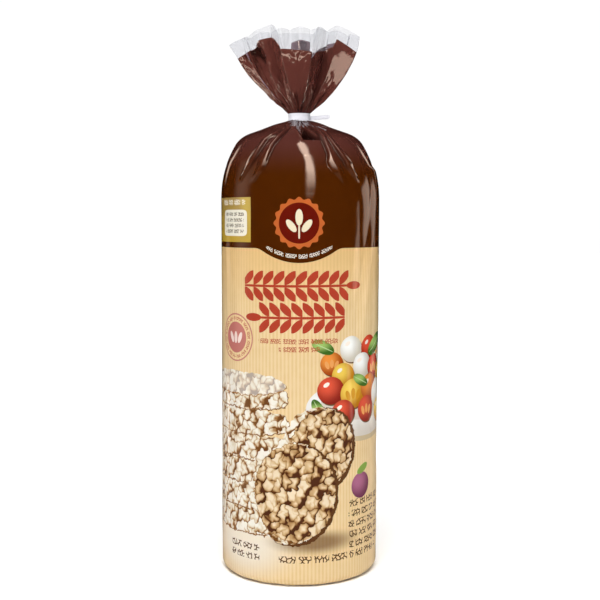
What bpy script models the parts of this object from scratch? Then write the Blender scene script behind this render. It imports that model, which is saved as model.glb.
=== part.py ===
"""A tall round pack of puffed grain cakes: a printed film bag that stands on its base, is
gathered over the top cake, tied at the neck and left to flare out as a pleated ruffle.

Metres, +Z up. The pack's axis is the Z axis, its base is at z = 0 and its front faces -Y.
A bearing is an angle round the axis, from the front towards +X.
"""
import math

import bmesh
import bpy
import numpy as np
from mathutils import Matrix

MM = 0.001

# Filled body
BODY_RADIUS = 49.0 * MM
BASE_EDGE_RADIUS = 5.0 * MM
BASE_EDGE_STEPS = 4
BODY_TOP = 234.0 * MM

# Shoulder, where the film lies over the edge of the top cake and runs in to the neck:
# radius and height of its outline, from the body up
SHOULDER_PROFILE = (
    (48.7 * MM, 240.0 * MM),
    (47.5 * MM, 247.5 * MM),
    (45.1 * MM, 255.5 * MM),
    (41.3 * MM, 262.6 * MM),
    (37.6 * MM, 268.2 * MM),
    (33.0 * MM, 271.5 * MM),
    (27.0 * MM, 273.5 * MM),
    (20.0 * MM, 276.0 * MM),
    (13.0 * MM, 278.6 * MM),
    (8.0 * MM, 280.1 * MM),
)
# Tucks in one quarter of the shoulder: bearing at the body and at the neck in degrees,
# and how far the film stands out (ridge) or in (valley) at mid shoulder
SHOULDER_TUCKS = (
    (0.0, 0.0, 0.3 * MM),
    (27.0, 15.0, -0.6 * MM),
    (38.0, 27.0, 1.7 * MM),
    (47.0, 34.0, -0.7 * MM),
    (57.0, 43.0, 1.7 * MM),
    (73.0, 64.0, -0.8 * MM),
    (90.0, 90.0, 1.0 * MM),
)
# Share of the way to the neck at which the tucks end, and how steeply they swell
TUCK_END = 0.92
TUCK_SWELL = 0.7

# Neck, under the tie
NECK_RADIUS = 5.9 * MM
NECK_LIP_RADIUS = 6.9 * MM
NECK_LIP_RISE = 0.5 * MM
TIE_BOTTOM = 280.7 * MM
TIE_TOP = 285.6 * MM
CLEARANCE = 0.3 * MM

# Tie: a white plastic band with a pinched tail
TIE_OUTER_RADIUS = 6.95 * MM
TIE_RIM_DEPTH = 0.15 * MM
TIE_RIM_HEIGHT = 0.8 * MM
TAIL_REACH = 20.0 * MM
TAIL_HEIGHT = 2.6 * MM
TAIL_THICKNESS = 0.9 * MM
TAIL_BEARING = math.radians(106.0)
TAIL_RISE = math.radians(6.0)
TAIL_LIFT = 0.5 * MM
TAIL_EDGE = 0.25 * MM
TAIL_ROOT = 0.2 * MM
TIE_STEPS = 48
MERGE_DISTANCE = 0.01 * MM

# Ruffle: the film above the tie
RUFFLE_WALL = 1.1 * MM
RUFFLE_LEVELS = (0.0, 0.08, 0.2, 0.34, 0.48, 0.62, 0.76, 0.88, 1.0)
RUFFLE_SOLID_SHARE = 0.34
MITRE_LIMIT = 1.5
# Folds of the open mouth, from the middle of the front round by the right: where each stands
# seen from above and the length of film up to it, in mm, and its flare. A flare of 1 runs
# straight to the mouth, and a greater one leaves the neck more nearly level.
MOUTH_FOLDS = (
    (-2.0, -41.0, 54.2, 1.45),
    (8.5, -41.0, 54.2, 1.45),
    (12.5, -20.0, 52.5, 1.55),
    (17.0, -5.5, 50.8, 1.6),
    (23.5, -14.5, 55.3, 1.7),
    (37.2, -10.5, 55.4, 1.9),
    (31.0, -2.5, 54.0, 1.6),
    (32.0, 6.0, 54.0, 1.5),
    (24.5, -1.5, 54.0, 1.45),
    (19.0, 11.5, 54.0, 1.45),
    (13.0, 3.5, 54.0, 1.45),
    (7.2, 12.8, 54.2, 1.45),
    (0.5, 4.0, 54.2, 1.45),
    (-5.8, 12.8, 54.2, 1.45),
    (-12.0, 4.0, 54.2, 1.45),
    (-18.5, 13.0, 54.2, 1.45),
    (-25.0, 2.0, 54.2, 1.45),
    (-30.5, 10.5, 54.2, 1.45),
    (-34.5, -0.5, 54.2, 1.45),
    (-43.4, -9.5, 55.2, 1.45),
    (-35.5, -17.0, 53.5, 1.45),
    (-31.5, -5.5, 52.8, 1.45),
    (-25.5, -14.5, 53.8, 1.45),
    (-17.5, -13.0, 54.2, 1.45),
    (-12.5, -39.0, 54.2, 1.45),
)

# Mesh columns, as a share of the way round, and the angle past which an edge is shaded sharp
COLUMN_STEP = 1.0 / 96.0
SHARP_ANGLE = math.radians(35.0)

COLLECTION = "puffed_cake_pack"


def clear_scene():
    for found in list(bpy.data.objects):
        bpy.data.objects.remove(found, do_unlink=True)


def new_collection(name):
    made = bpy.data.collections.new(name)
    bpy.context.scene.collection.children.link(made)
    return made


def principled(name, colour, roughness, metallic=0.0):
    material = bpy.data.materials.new(name)
    material.use_nodes = True
    shader = material.node_tree.nodes["Principled BSDF"]
    shader.inputs["Base Color"].default_value = (*colour, 1.0)
    shader.inputs["Roughness"].default_value = roughness
    shader.inputs["Metallic"].default_value = metallic
    return material


def round_axis(bearing, radius, height):
    """Points at these bearings, radii and heights."""
    height = np.broadcast_to(height, np.shape(bearing))
    return np.stack((radius * np.sin(bearing), -radius * np.cos(bearing), height), axis=-1)


def tuck_table():
    """The quarter's tucks, mirrored to all four quarters and sorted by share of the way round."""
    tucks = set()
    for body, neck, depth in SHOULDER_TUCKS:
        for side in (1, -1):
            tucks.add((side * body / 360.0, side * neck / 360.0, depth))
            tucks.add((side * (180.0 - body) / 360.0, side * (180.0 - neck) / 360.0, depth))
    unique = {round(share, 6): (share, neck, depth) for share, neck, depth in sorted(tucks)}
    return np.array([unique[key] for key in sorted(unique) if key > -0.5])


def mouth_shares():
    """The share of the way round the film at which each mouth fold stands."""
    folds = np.array(MOUTH_FOLDS)[:, :2]
    steps = np.linalg.norm(np.roll(folds, -1, axis=0) - folds, axis=1)
    return np.concatenate(([0.0], np.cumsum(steps)[:-1])) / steps.sum()


def mouth_folds(wall):
    """The mouth's folds, moved in by the wall's thickness. Each fold moves along the bisector
    of its two sides, as far as keeps both sides the wall's thickness apart; at a fold that
    points inwards that distance is held to MITRE_LIMIT times the wall."""
    folds = np.array(MOUTH_FOLDS)[:, :2] * MM
    before = folds - np.roll(folds, 1, axis=0)
    after = np.roll(folds, -1, axis=0) - folds
    before /= np.linalg.norm(before, axis=1)[:, None]
    after /= np.linalg.norm(after, axis=1)[:, None]
    inward = np.stack((-(before + after)[:, 1], (before + after)[:, 0]), axis=1)
    inward /= np.linalg.norm(inward, axis=1)[:, None]
    across = inward[:, 0] * -after[:, 1] + inward[:, 1] * after[:, 0]
    points_out = before[:, 0] * after[:, 1] - before[:, 1] * after[:, 0] > 0.0
    stretch = np.where(points_out, 1.0 / across, np.minimum(1.0 / across, MITRE_LIMIT))
    return folds + inward * (wall * stretch)[:, None]


def around(shares, known_shares, values):
    """Straight-line interpolation of a value that repeats every whole turn."""
    order = np.argsort(known_shares % 1.0)
    return np.interp(shares % 1.0, known_shares[order] % 1.0, values[order], period=1.0)


def film_columns():
    """Shares of the way round for the mesh's columns: one on every fold and tuck ridge, and
    even steps between them."""
    tucks = tuck_table()
    ridges = tucks[tucks[:, 2] > 0.0, 0] % 1.0
    knots = list(mouth_shares())
    for ridge in ridges:
        gaps = [abs((ridge - knot + 0.5) % 1.0 - 0.5) for knot in knots]
        if min(gaps) > 0.5 * COLUMN_STEP:
            knots.append(ridge)
    knots.sort()
    columns = []
    for low, high in zip(knots, knots[1:] + [knots[0] + 1.0]):
        count = max(1, round((high - low) / COLUMN_STEP))
        columns += [low + (high - low) * step / count for step in range(count)]
    return np.array(columns) % 1.0


def base_rings(shares):
    """The flat base's rim and the quarter-round edge above it."""
    bearing = 2.0 * math.pi * shares
    rings = []
    for step in range(BASE_EDGE_STEPS + 1):
        turn = 0.5 * math.pi * step / BASE_EDGE_STEPS
        radius = BODY_RADIUS - BASE_EDGE_RADIUS * (1.0 - math.sin(turn))
        height = BASE_EDGE_RADIUS * (1.0 - math.cos(turn))
        rings.append(round_axis(bearing, radius, height))
    return rings


def shoulder_rings(shares):
    """Outline circles pushed out along the outline's normal by the tucks. The tucks swell from
    nothing at the body to their full depth at mid shoulder, and end at TUCK_END of the way."""
    tucks = tuck_table()
    profile = np.array(SHOULDER_PROFILE)
    slope = np.gradient(profile, axis=0)
    normal = np.stack((slope[:, 1], -slope[:, 0]), axis=1)
    normal /= np.linalg.norm(normal, axis=1)[:, None]
    lean = around(shares, tucks[:, 0], tucks[:, 1] - tucks[:, 0])
    depth = around(shares, tucks[:, 0], tucks[:, 2])
    rings = []
    for level, (radius, height) in enumerate(profile):
        way = level / (len(profile) - 1)
        swell = math.sin(math.pi * min(1.0, way / TUCK_END)) ** TUCK_SWELL
        bearing = 2.0 * math.pi * (shares + lean * way)
        push = depth * swell
        rings.append(
            round_axis(bearing, radius + normal[level, 0] * push, height + normal[level, 1] * push)
        )
    return rings


def neck_rings(shares):
    tucks = tuck_table()
    lean = around(shares, tucks[:, 0], tucks[:, 1] - tucks[:, 0])
    bearing = 2.0 * math.pi * (shares + lean)
    low, high = TIE_BOTTOM - CLEARANCE, TIE_TOP + CLEARANCE
    return [
        round_axis(bearing, NECK_RADIUS, low),
        round_axis(bearing, NECK_RADIUS, high),
    ]


def ruffle_surface(shares, way, inset=0.0):
    """The film from the neck (way 0) to the mouth (way 1). Each column is a strip of its fold's
    length, so the further it leans out, the lower its end. It leaves the neck outwards by its
    flare and straightens towards the mouth."""
    known = mouth_shares()
    table = np.array(MOUTH_FOLDS)
    length = around(shares, known, table[:, 2] * MM)
    flare = around(shares, known, table[:, 3])
    tucks = tuck_table()
    outline = mouth_folds(0.0)
    mouth = np.stack([around(shares, known, outline[:, axis]) for axis in (0, 1)], axis=-1)
    lean = around(shares, tucks[:, 0], tucks[:, 1] - tucks[:, 0]) * (1.0 - way)
    bearing = 2.0 * math.pi * (shares + lean)
    foot = TIE_TOP + CLEARANCE + NECK_LIP_RISE
    start = round_axis(bearing, NECK_LIP_RADIUS, foot)
    reach = np.linalg.norm(mouth - start[:, :2], axis=1)
    rise = np.sqrt(length**2 - reach**2)
    if inset:
        outline = mouth_folds(inset)
        mouth = np.stack([around(shares, known, outline[:, axis]) for axis in (0, 1)], axis=-1)
        start = round_axis(bearing, NECK_LIP_RADIUS - inset, foot)
    spread = way * (flare - (flare - 1.0) * way)
    flat = start[:, :2] + (mouth - start[:, :2]) * spread[:, None]
    return np.column_stack((flat, foot + rise * way))


def ruffle_rings(shares):
    """The outside up to the mouth, then the inside down to where the gathered film is solid."""
    outer = [ruffle_surface(shares, way) for way in RUFFLE_LEVELS]
    open_levels = [way for way in RUFFLE_LEVELS if way >= RUFFLE_SOLID_SHARE]
    inner = [ruffle_surface(shares, way, RUFFLE_WALL) for way in reversed(open_levels)]
    return outer + inner


def loft(name, rings, material, collection):
    """A closed skin over rings of equal size, from the first ring's cap to the last one's."""
    mesh_builder = bmesh.new()
    rows = [[mesh_builder.verts.new(point) for point in ring] for ring in rings]
    for low, high in zip(rows, rows[1:]):
        for index in range(len(low)):
            after = (index + 1) % len(low)
            mesh_builder.faces.new((low[index], low[after], high[after], high[index]))
    mesh_builder.faces.new(rows[0][::-1])
    mesh_builder.faces.new(rows[-1])
    mesh = bpy.data.meshes.new(name)
    mesh_builder.to_mesh(mesh)
    mesh_builder.free()
    mesh.shade_smooth()
    mesh.set_sharp_from_angle(angle=SHARP_ANGLE)
    mesh.materials.append(material)
    made = bpy.data.objects.new(name, mesh)
    collection.objects.link(made)
    return made


def make_film_bag(collection):
    shares = film_columns()
    rings = (
        base_rings(shares)
        + [round_axis(2.0 * math.pi * shares, BODY_RADIUS, BODY_TOP)]
        + shoulder_rings(shares)
        + neck_rings(shares)
        + ruffle_rings(shares)
    )
    material = principled("printed film", (0.62, 0.40, 0.18), 0.3)
    return loft("film_bag", rings, material, collection)


def tie_profile():
    """Half section of the band, down its outer side and up its inner side: two raised rims
    with a shallow recess between them."""
    inner = NECK_RADIUS + CLEARANCE
    recess = TIE_OUTER_RADIUS - TIE_RIM_DEPTH
    chamfer = TIE_RIM_DEPTH
    top_rim = TIE_TOP - TIE_RIM_HEIGHT
    low_rim = TIE_BOTTOM + TIE_RIM_HEIGHT
    return (
        (inner, TIE_TOP),
        (TIE_OUTER_RADIUS - chamfer, TIE_TOP),
        (TIE_OUTER_RADIUS, TIE_TOP - chamfer),
        (TIE_OUTER_RADIUS, top_rim),
        (recess, top_rim - chamfer),
        (recess, low_rim + chamfer),
        (TIE_OUTER_RADIUS, low_rim),
        (TIE_OUTER_RADIUS, TIE_BOTTOM + chamfer),
        (TIE_OUTER_RADIUS - chamfer, TIE_BOTTOM),
        (inner, TIE_BOTTOM),
    )


def make_tail(collection):
    """The tie's pinched end: a thin bar with rounded edges that starts inside the band's wall
    and points outwards, a little upwards."""
    start = NECK_RADIUS + CLEARANCE + TAIL_ROOT
    length = TAIL_REACH - start
    middle = start + 0.5 * length
    bpy.ops.mesh.primitive_cube_add(size=1.0)
    tail = bpy.context.active_object
    tail.name = "tie_tail"
    tail.data.transform(Matrix.Diagonal((length, TAIL_THICKNESS, TAIL_HEIGHT, 1.0)))
    bevel = tail.modifiers.new("rounded edges", "BEVEL")
    bevel.width = TAIL_EDGE
    bevel.segments = 2
    tail.rotation_euler = (0.0, -TAIL_RISE, TAIL_BEARING - 0.5 * math.pi)
    tail.location = (
        middle * math.sin(TAIL_BEARING),
        -middle * math.cos(TAIL_BEARING),
        0.5 * (TIE_BOTTOM + TIE_TOP) + TAIL_LIFT,
    )
    tail.hide_render = True
    tail.display_type = "WIRE"
    for owner in list(tail.users_collection):
        owner.objects.unlink(tail)
    collection.objects.link(tail)
    return tail


def make_tie(collection, helpers):
    """The band is its half section turned round the axis, joined with its tail."""
    profile = tie_profile()
    mesh = bpy.data.meshes.new("closure_band")
    edges = [(index, (index + 1) % len(profile)) for index in range(len(profile))]
    mesh.from_pydata([(radius, 0.0, height) for radius, height in profile], edges, [])
    mesh.materials.append(principled("white tie plastic", (0.86, 0.86, 0.90), 0.35))
    band = bpy.data.objects.new("closure_band", mesh)
    collection.objects.link(band)
    turn = band.modifiers.new("turned ring", "SCREW")
    turn.steps = TIE_STEPS
    turn.render_steps = TIE_STEPS
    turn.use_merge_vertices = True
    turn.merge_threshold = MERGE_DISTANCE
    turn.use_smooth_shade = False
    join = band.modifiers.new("tail joined", "BOOLEAN")
    join.operation = "UNION"
    join.object = make_tail(helpers)
    return band


def main():
    clear_scene()
    parts = new_collection(COLLECTION)
    helpers = new_collection("construction")
    make_film_bag(parts)
    make_tie(parts, helpers)


main()
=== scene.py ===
"""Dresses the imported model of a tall, tied pack of puffed grain cakes: the printed film, the
clear hem of its ruffle, the tie, and the floor, lights and camera round them.

Metres, +Z up. The pack's axis is the Z axis and its printed front faces -Y. A bearing is an
angle round the axis, from the front towards +X, and a share is a bearing as a share of a whole
turn. The film's own map has its width round the pack as U, from the front's middle, and its
length from the base up as V, both in metres, so that the print is laid out in real sizes.
"""
import functools
import itertools
import math

import bpy
import numpy as np
from mathutils import Matrix, Vector


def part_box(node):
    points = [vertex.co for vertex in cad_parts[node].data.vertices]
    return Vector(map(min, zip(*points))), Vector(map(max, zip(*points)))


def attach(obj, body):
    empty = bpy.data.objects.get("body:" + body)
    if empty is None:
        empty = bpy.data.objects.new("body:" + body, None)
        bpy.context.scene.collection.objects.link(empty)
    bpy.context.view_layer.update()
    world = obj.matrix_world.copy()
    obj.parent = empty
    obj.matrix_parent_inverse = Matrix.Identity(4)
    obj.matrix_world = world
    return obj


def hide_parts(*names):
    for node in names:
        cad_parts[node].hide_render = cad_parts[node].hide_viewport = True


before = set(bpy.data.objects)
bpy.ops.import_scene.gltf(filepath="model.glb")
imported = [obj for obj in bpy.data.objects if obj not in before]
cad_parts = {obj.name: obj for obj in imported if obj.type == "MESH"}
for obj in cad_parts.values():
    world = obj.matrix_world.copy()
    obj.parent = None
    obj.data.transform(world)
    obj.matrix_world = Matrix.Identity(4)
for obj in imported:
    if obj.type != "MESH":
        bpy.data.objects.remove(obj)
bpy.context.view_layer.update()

bl_info = {
    "name": "Tied Film Pack",
    "version": (1, 0, 0),
    "blender": (4, 5, 0),
    "location": "3D View > Sidebar > Film Pack",
    "description": "Builds a printed film pack of puffed grain cakes round its packed frame",
    "category": "Add Mesh",
}

MM = 0.001
BAG_LOW, BAG_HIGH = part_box("film_bag")
TIE_LOW, TIE_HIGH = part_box("closure_band")
BODY_RADIUS = (BAG_HIGH.y - BAG_LOW.y) / 2
TIE_TOP = TIE_HIGH.z
TIE_BOTTOM = TIE_LOW.z
TIE_RADIUS = -TIE_LOW.y
TAIL_BEARING = 106.0
TAIL_REACH = 20.0 * MM
TAIL_RISE = math.radians(6.0)
PERIMETER = 2.0 * math.pi * BODY_RADIUS

# Outline of the filled body
BASE_EDGE_RADIUS = 5.0 * MM
BODY_TOP = 234.0 * MM
# The print is two materials, one above this height and one below
PRINT_SPLIT = 151.0 * MM
SHOULDER_PROFILE = (
    (48.7 * MM, 240.0 * MM),
    (47.5 * MM, 247.5 * MM),
    (45.1 * MM, 255.5 * MM),
    (41.3 * MM, 262.6 * MM),
    (37.6 * MM, 268.2 * MM),
    (33.0 * MM, 271.5 * MM),
    (27.0 * MM, 273.5 * MM),
    (20.0 * MM, 276.0 * MM),
    (13.0 * MM, 278.6 * MM),
    (8.0 * MM, 280.1 * MM),
    (6.6 * MM, 280.6 * MM),
)
NECK_RADIUS = 5.7 * MM
NECK_LIP_RADIUS = 6.9 * MM
NECK_LIP_RISE = 0.8 * MM
CORNER_ROUNDING = 2.6 * MM

# Tucks in one quarter of the shoulder: bearing at the body and at the neck in degrees, and
# how far the film stands out (ridge) or in (valley) at mid shoulder
SHOULDER_TUCKS = (
    (0.0, 0.0, 0.3 * MM),
    (27.0, 15.0, -0.6 * MM),
    (38.0, 27.0, 1.7 * MM),
    (47.0, 34.0, -0.7 * MM),
    (57.0, 43.0, 1.7 * MM),
    (73.0, 64.0, -0.8 * MM),
    (90.0, 90.0, 1.0 * MM),
)
TUCK_START = 250.0 * MM
TUCK_FULL = 267.0 * MM
FRONT_BEARING = 60.0

# Folds in the front of the shoulder, each from the neck down: height in mm, bearing in degrees,
# how far its crest stands out, the width of the facet on its inner side, which ends in a steep
# drop, and the width of its outer flank, in mm. Where a fold runs out, the facet widens to a kite.
SHOULDER_FOLDS = (
    (
        (279.5, 20.0, 0.0, 0.6, 1.5),
        (274.0, 20.0, 1.5, 0.7, 2.6),
        (268.0, 22.0, 2.2, 0.8, 4.5),
        (257.5, 24.5, 1.8, 1.1, 5.5),
        (254.0, 25.5, 1.9, 3.4, 5.0),
        (250.0, 27.8, 2.0, 5.2, 4.6),
        (247.0, 29.3, 1.8, 4.6, 4.4),
        (244.0, 31.0, 1.1, 3.0, 4.0),
        (240.0, 33.0, 0.0, 1.0, 4.0),
    ),
    (
        (251.0, 23.5, 0.0, 0.6, 0.8),
        (248.0, 25.0, 0.4, 1.2, 0.8),
        (244.5, 29.5, 0.4, 1.1, 0.9),
        (241.0, 36.0, 0.0, 0.6, 0.8),
    ),
    (
        (278.5, 33.0, 0.0, 0.6, 1.5),
        (274.0, 27.0, 1.2, 0.7, 2.4),
        (268.0, 27.0, 2.0, 0.8, 4.0),
        (259.5, 32.5, 2.3, 0.8, 5.5),
        (254.0, 37.0, 2.0, 1.2, 5.5),
        (250.0, 39.5, 2.1, 2.2, 4.5),
        (246.8, 42.0, 1.8, 3.0, 3.6),
        (244.0, 44.0, 0.9, 2.2, 3.2),
        (241.0, 46.0, 0.0, 1.0, 3.0),
    ),
    (
        (279.5, -14.0, 0.0, 0.6, 1.5),
        (274.0, -14.0, 1.5, 0.6, 2.6),
        (268.0, -19.0, 2.2, 0.7, 4.5),
        (263.0, -23.5, 2.2, 0.9, 5.0),
        (255.0, -26.5, 2.0, 1.6, 5.0),
        (251.0, -28.0, 2.1, 3.4, 4.4),
        (247.5, -29.5, 2.0, 4.0, 4.2),
        (244.4, -31.5, 1.1, 3.0, 4.0),
        (240.6, -34.0, 0.0, 1.0, 4.0),
    ),
    (
        (250.5, -23.5, 0.0, 0.6, 0.8),
        (248.0, -25.0, 0.5, 0.9, 0.8),
        (244.5, -29.0, 0.5, 0.9, 0.8),
        (241.0, -36.0, 0.0, 0.6, 0.8),
    ),
    (
        (278.5, -28.0, 0.0, 0.6, 1.5),
        (271.0, -24.0, 1.5, 0.6, 2.8),
        (267.0, -31.0, 2.0, 0.7, 4.0),
        (261.0, -34.0, 2.2, 0.8, 5.0),
        (255.0, -37.0, 1.9, 0.8, 5.0),
        (250.5, -40.0, 2.0, 2.0, 4.4),
        (247.5, -42.0, 1.8, 2.6, 3.6),
        (244.6, -44.0, 0.9, 2.0, 3.2),
        (241.4, -46.0, 0.0, 1.0, 3.0),
    ),
)
FACET_BEARING = 8.0
DROP_SLOPE = 2.5
# The tongue of film that laps over the gather: height in mm, bearing of its left and right
# edges in degrees, and how far it stands out in mm. The hollow beside it comes after.
TONGUE = (
    (280.5, -50.0, -2.0, 0.5),
    (277.0, -34.0, -1.0, 1.3),
    (274.0, -19.0, 0.0, 1.9),
    (270.0, -10.0, 2.0, 2.3),
    (267.5, -3.0, 3.5, 2.3),
    (266.3, 0.5, 1.5, 1.6),
)
HOLLOW_LEFT = 2.0
HOLLOW_RIGHT = ((267.0 * MM, 21.0), (271.0 * MM, 16.0), (277.0 * MM, 5.0))
HOLLOW_HEIGHTS = (266.8 * MM, 267.8 * MM, 274.0 * MM, 277.0 * MM)
HOLLOW_DEPTH = 4.5 * MM

# Folds of the ruffle's open mouth, from the middle of the front round by the right: where
# each stands seen from above, the length of film up to it, its flare (1 runs straight to the
# mouth, and more leaves the neck more nearly level), and the length of film that is printed.
# Lengths are in mm, with small creases taken up.
MOUTH_FOLDS = (
    (-2.0, -41.0, 54.2, 1.45, 42.6),
    (8.5, -41.0, 54.2, 1.45, 42.2),
    (9.2, -38.5, 54.0, 1.48, 36.0),
    (12.5, -20.0, 52.5, 1.55, 37.0),
    (17.0, -5.5, 50.8, 1.6, 38.5),
    (22.6, -13.4, 55.0, 1.68, 42.0),
    (24.0, -14.5, 55.5, 1.7, 47.0),
    (37.2, -10.5, 55.4, 1.9, 43.8),
    (31.0, -2.5, 54.0, 1.6, 43.0),
    (32.0, 6.0, 54.0, 1.5, 43.0),
    (24.5, -1.5, 54.0, 1.45, 46.0),
    (19.0, 11.5, 54.0, 1.45, 45.0),
    (13.0, 3.5, 54.0, 1.45, 40.0),
    (7.6, 12.5, 54.2, 1.45, 37.0),
    (7.0, 12.8, 54.2, 1.45, 46.0),
    (0.5, 4.0, 54.2, 1.45, 46.0),
    (-5.6, 12.8, 54.2, 1.45, 46.0),
    (-6.2, 12.5, 54.2, 1.45, 40.0),
    (-12.0, 4.0, 54.2, 1.45, 41.0),
    (-18.5, 13.0, 54.2, 1.45, 41.0),
    (-25.0, 2.0, 54.2, 1.45, 42.0),
    (-30.5, 10.5, 54.2, 1.45, 42.0),
    (-34.5, -0.5, 54.2, 1.45, 43.0),
    (-43.4, -9.5, 55.2, 1.45, 43.8),
    (-35.5, -17.0, 53.5, 1.45, 43.5),
    (-31.5, -5.5, 52.8, 1.45, 43.6),
    (-25.5, -14.5, 53.8, 1.45, 47.2),
    (-17.5, -13.0, 54.2, 1.45, 46.4),
    (-12.5, -39.0, 54.2, 1.45, 43.8),
)

BODY_COLUMNS = 540
RUFFLE_COLUMNS = 620
FRONT_CROWD = 0.5
PRINT_ROWS = 60
HEM_ROWS = 14
SEED = 11
# Middle of each side of the back on the film, in mm from the front's middle
BACK_MIDDLE = 0.5 * PERIMETER / MM - 40.0
# The brown field's lower edge, which dips in the middle: u * u / DIP_CURVE + DIP_LOW up to
# FIELD_EDGE, in mm
DIP_CURVE, DIP_LOW, FIELD_EDGE = 72.0, 194.0, 202.6


def linear(hex_colour):
    """sRGB hex to linear red, green, blue and an alpha of 1."""
    parts = [int(hex_colour[start : start + 2], 16) / 255.0 for start in (0, 2, 4)]
    return tuple(
        part / 12.92 if part <= 0.04045 else ((part + 0.055) / 1.055) ** 2.4 for part in parts
    ) + (1.0,)


def ink(label, about, hex_colour):
    """A colour property that a user can change."""
    return bpy.props.FloatVectorProperty(
        name=label,
        description=about,
        subtype="COLOR",
        size=4,
        min=0.0,
        max=1.0,
        default=linear(hex_colour),
    )


def measure(label, about, default):
    """A length property that a user can change."""
    return bpy.props.FloatProperty(name=label, description=about, default=default, unit="LENGTH")


class FilmPackSizes(bpy.types.PropertyGroup):
    # Such film is usually 0.03 to 0.04 mm thick, which would be too thin to show at the mouth
    film: measure("Film thickness", "The ruffle's film, drawn thicker than it is", 0.12 * MM)
    gather: measure("Gather depth", "Depth of the fine pleats at the tie", 0.9 * MM)
    crumple: measure("Crumple depth", "Depth of the small dents in the ruffle", 1.35 * MM)
    lap: measure("Loose film", "How far the slack film stands out on the right", 1.3 * MM)


class FilmPackColours(bpy.types.PropertyGroup):
    brown: ink("Brown", "Brown ink of the upper body", "4D2203")
    shoulder: ink("Shoulder brown", "Brown ink where the film hangs free", "5A3029")
    cream_top: ink("Cream, top", "Cream ink under the brown field", "EBC487")
    cream: ink("Cream", "Cream ink of the lower body", "F0D4A3")
    stripe: ink("Stripe", "Darker of the two fine stripes", "DDB678")
    red: ink("Red", "Red ink of the ornament", "B7432F")
    reverse: ink("Reverse", "The brown ink seen from inside the film", "6C535D")
    tie: ink("Tie", "White plastic of the tie", "F1F1F6")
    floor: ink("Floor", "Pale floor", "FAFAFA")


# Shapes


def round_axis(bearing, radius, height):
    """Points at these bearings, radii and heights."""
    bearing, radius, height = np.broadcast_arrays(bearing, radius, height)
    return np.stack((radius * np.sin(bearing), -radius * np.cos(bearing), height), axis=-1)


def around(shares, known_shares, values):
    """Straight-line interpolation of a value that repeats every whole turn."""
    order = np.argsort(known_shares % 1.0)
    return np.interp(shares % 1.0, known_shares[order] % 1.0, values[order], period=1.0)


def smooth(low, high, value):
    """0 below low, 1 above high, and a smooth S between them."""
    part = np.clip((value - low) / (high - low), 0.0, 1.0)
    return part * part * (3.0 - 2.0 * part)


def sawtooth(value):
    """A straight-sided wave from -1 to 1 and back once in every 1."""
    return 4.0 * np.abs(value - np.floor(value + 0.5)) - 1.0


def hump(value, middle, width):
    """A bell exp(-((value - middle) / width) ** 2), which is 1 at its middle."""
    return np.exp(-(((value - middle) / width) ** 2))


def half_turn(bearing):
    """The same bearing from -180 to 180 degrees."""
    return (bearing + 180.0) % 360.0 - 180.0


def columns_at(rows, scales, height):
    """The columns of a table after its first, at these heights, on straight lines between
    its rows, which run downwards. scales turns the table's units into metres."""
    table = np.array(rows)[::-1] * scales
    return [
        np.interp(height, table[:, 0], column, left=column[0], right=column[-1])
        for column in table.T[1:]
    ]


def way_up(path):
    """How far up the shoulder each point of the outline lies, 0 at the body and 1 at the tie."""
    return np.clip((path[:, 1:] - BODY_TOP) / (TIE_BOTTOM - BODY_TOP), 0.0, 1.0)


def fine_pleats(shares):
    """The neck's fine pleats, from -1 to 1: two straight-sided waves, 27 and 43 to a turn, with
    slowly changing widths."""
    warp = shares + 0.006 * np.sin(2.0 * math.pi * 5.0 * shares + 1.0)
    return 0.6 * sawtooth(27.0 * warp) + 0.4 * sawtooth(43.0 * warp + 0.3)


def tuck_table():
    """The quarter's tucks mirrored to all four quarters: share at the body, share at the
    neck, depth."""
    rows = {}
    for body, neck, depth in SHOULDER_TUCKS:
        for side in (1, -1):
            for at_body, at_neck in ((body, neck), (180.0 - body, 180.0 - neck)):
                key = round(side * at_body / 360.0 % 1.0, 6)
                rows[key] = (key, side * at_neck / 360.0, depth)
    return np.array([rows[key] for key in sorted(rows)])


def lean_of(shares):
    """How far round, as a share, the film has drifted when it reaches the neck."""
    tucks = tuck_table()
    drift = (tucks[:, 1] - tucks[:, 0] + 0.5) % 1.0 - 0.5
    return around(shares, tucks[:, 0], drift)


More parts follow.
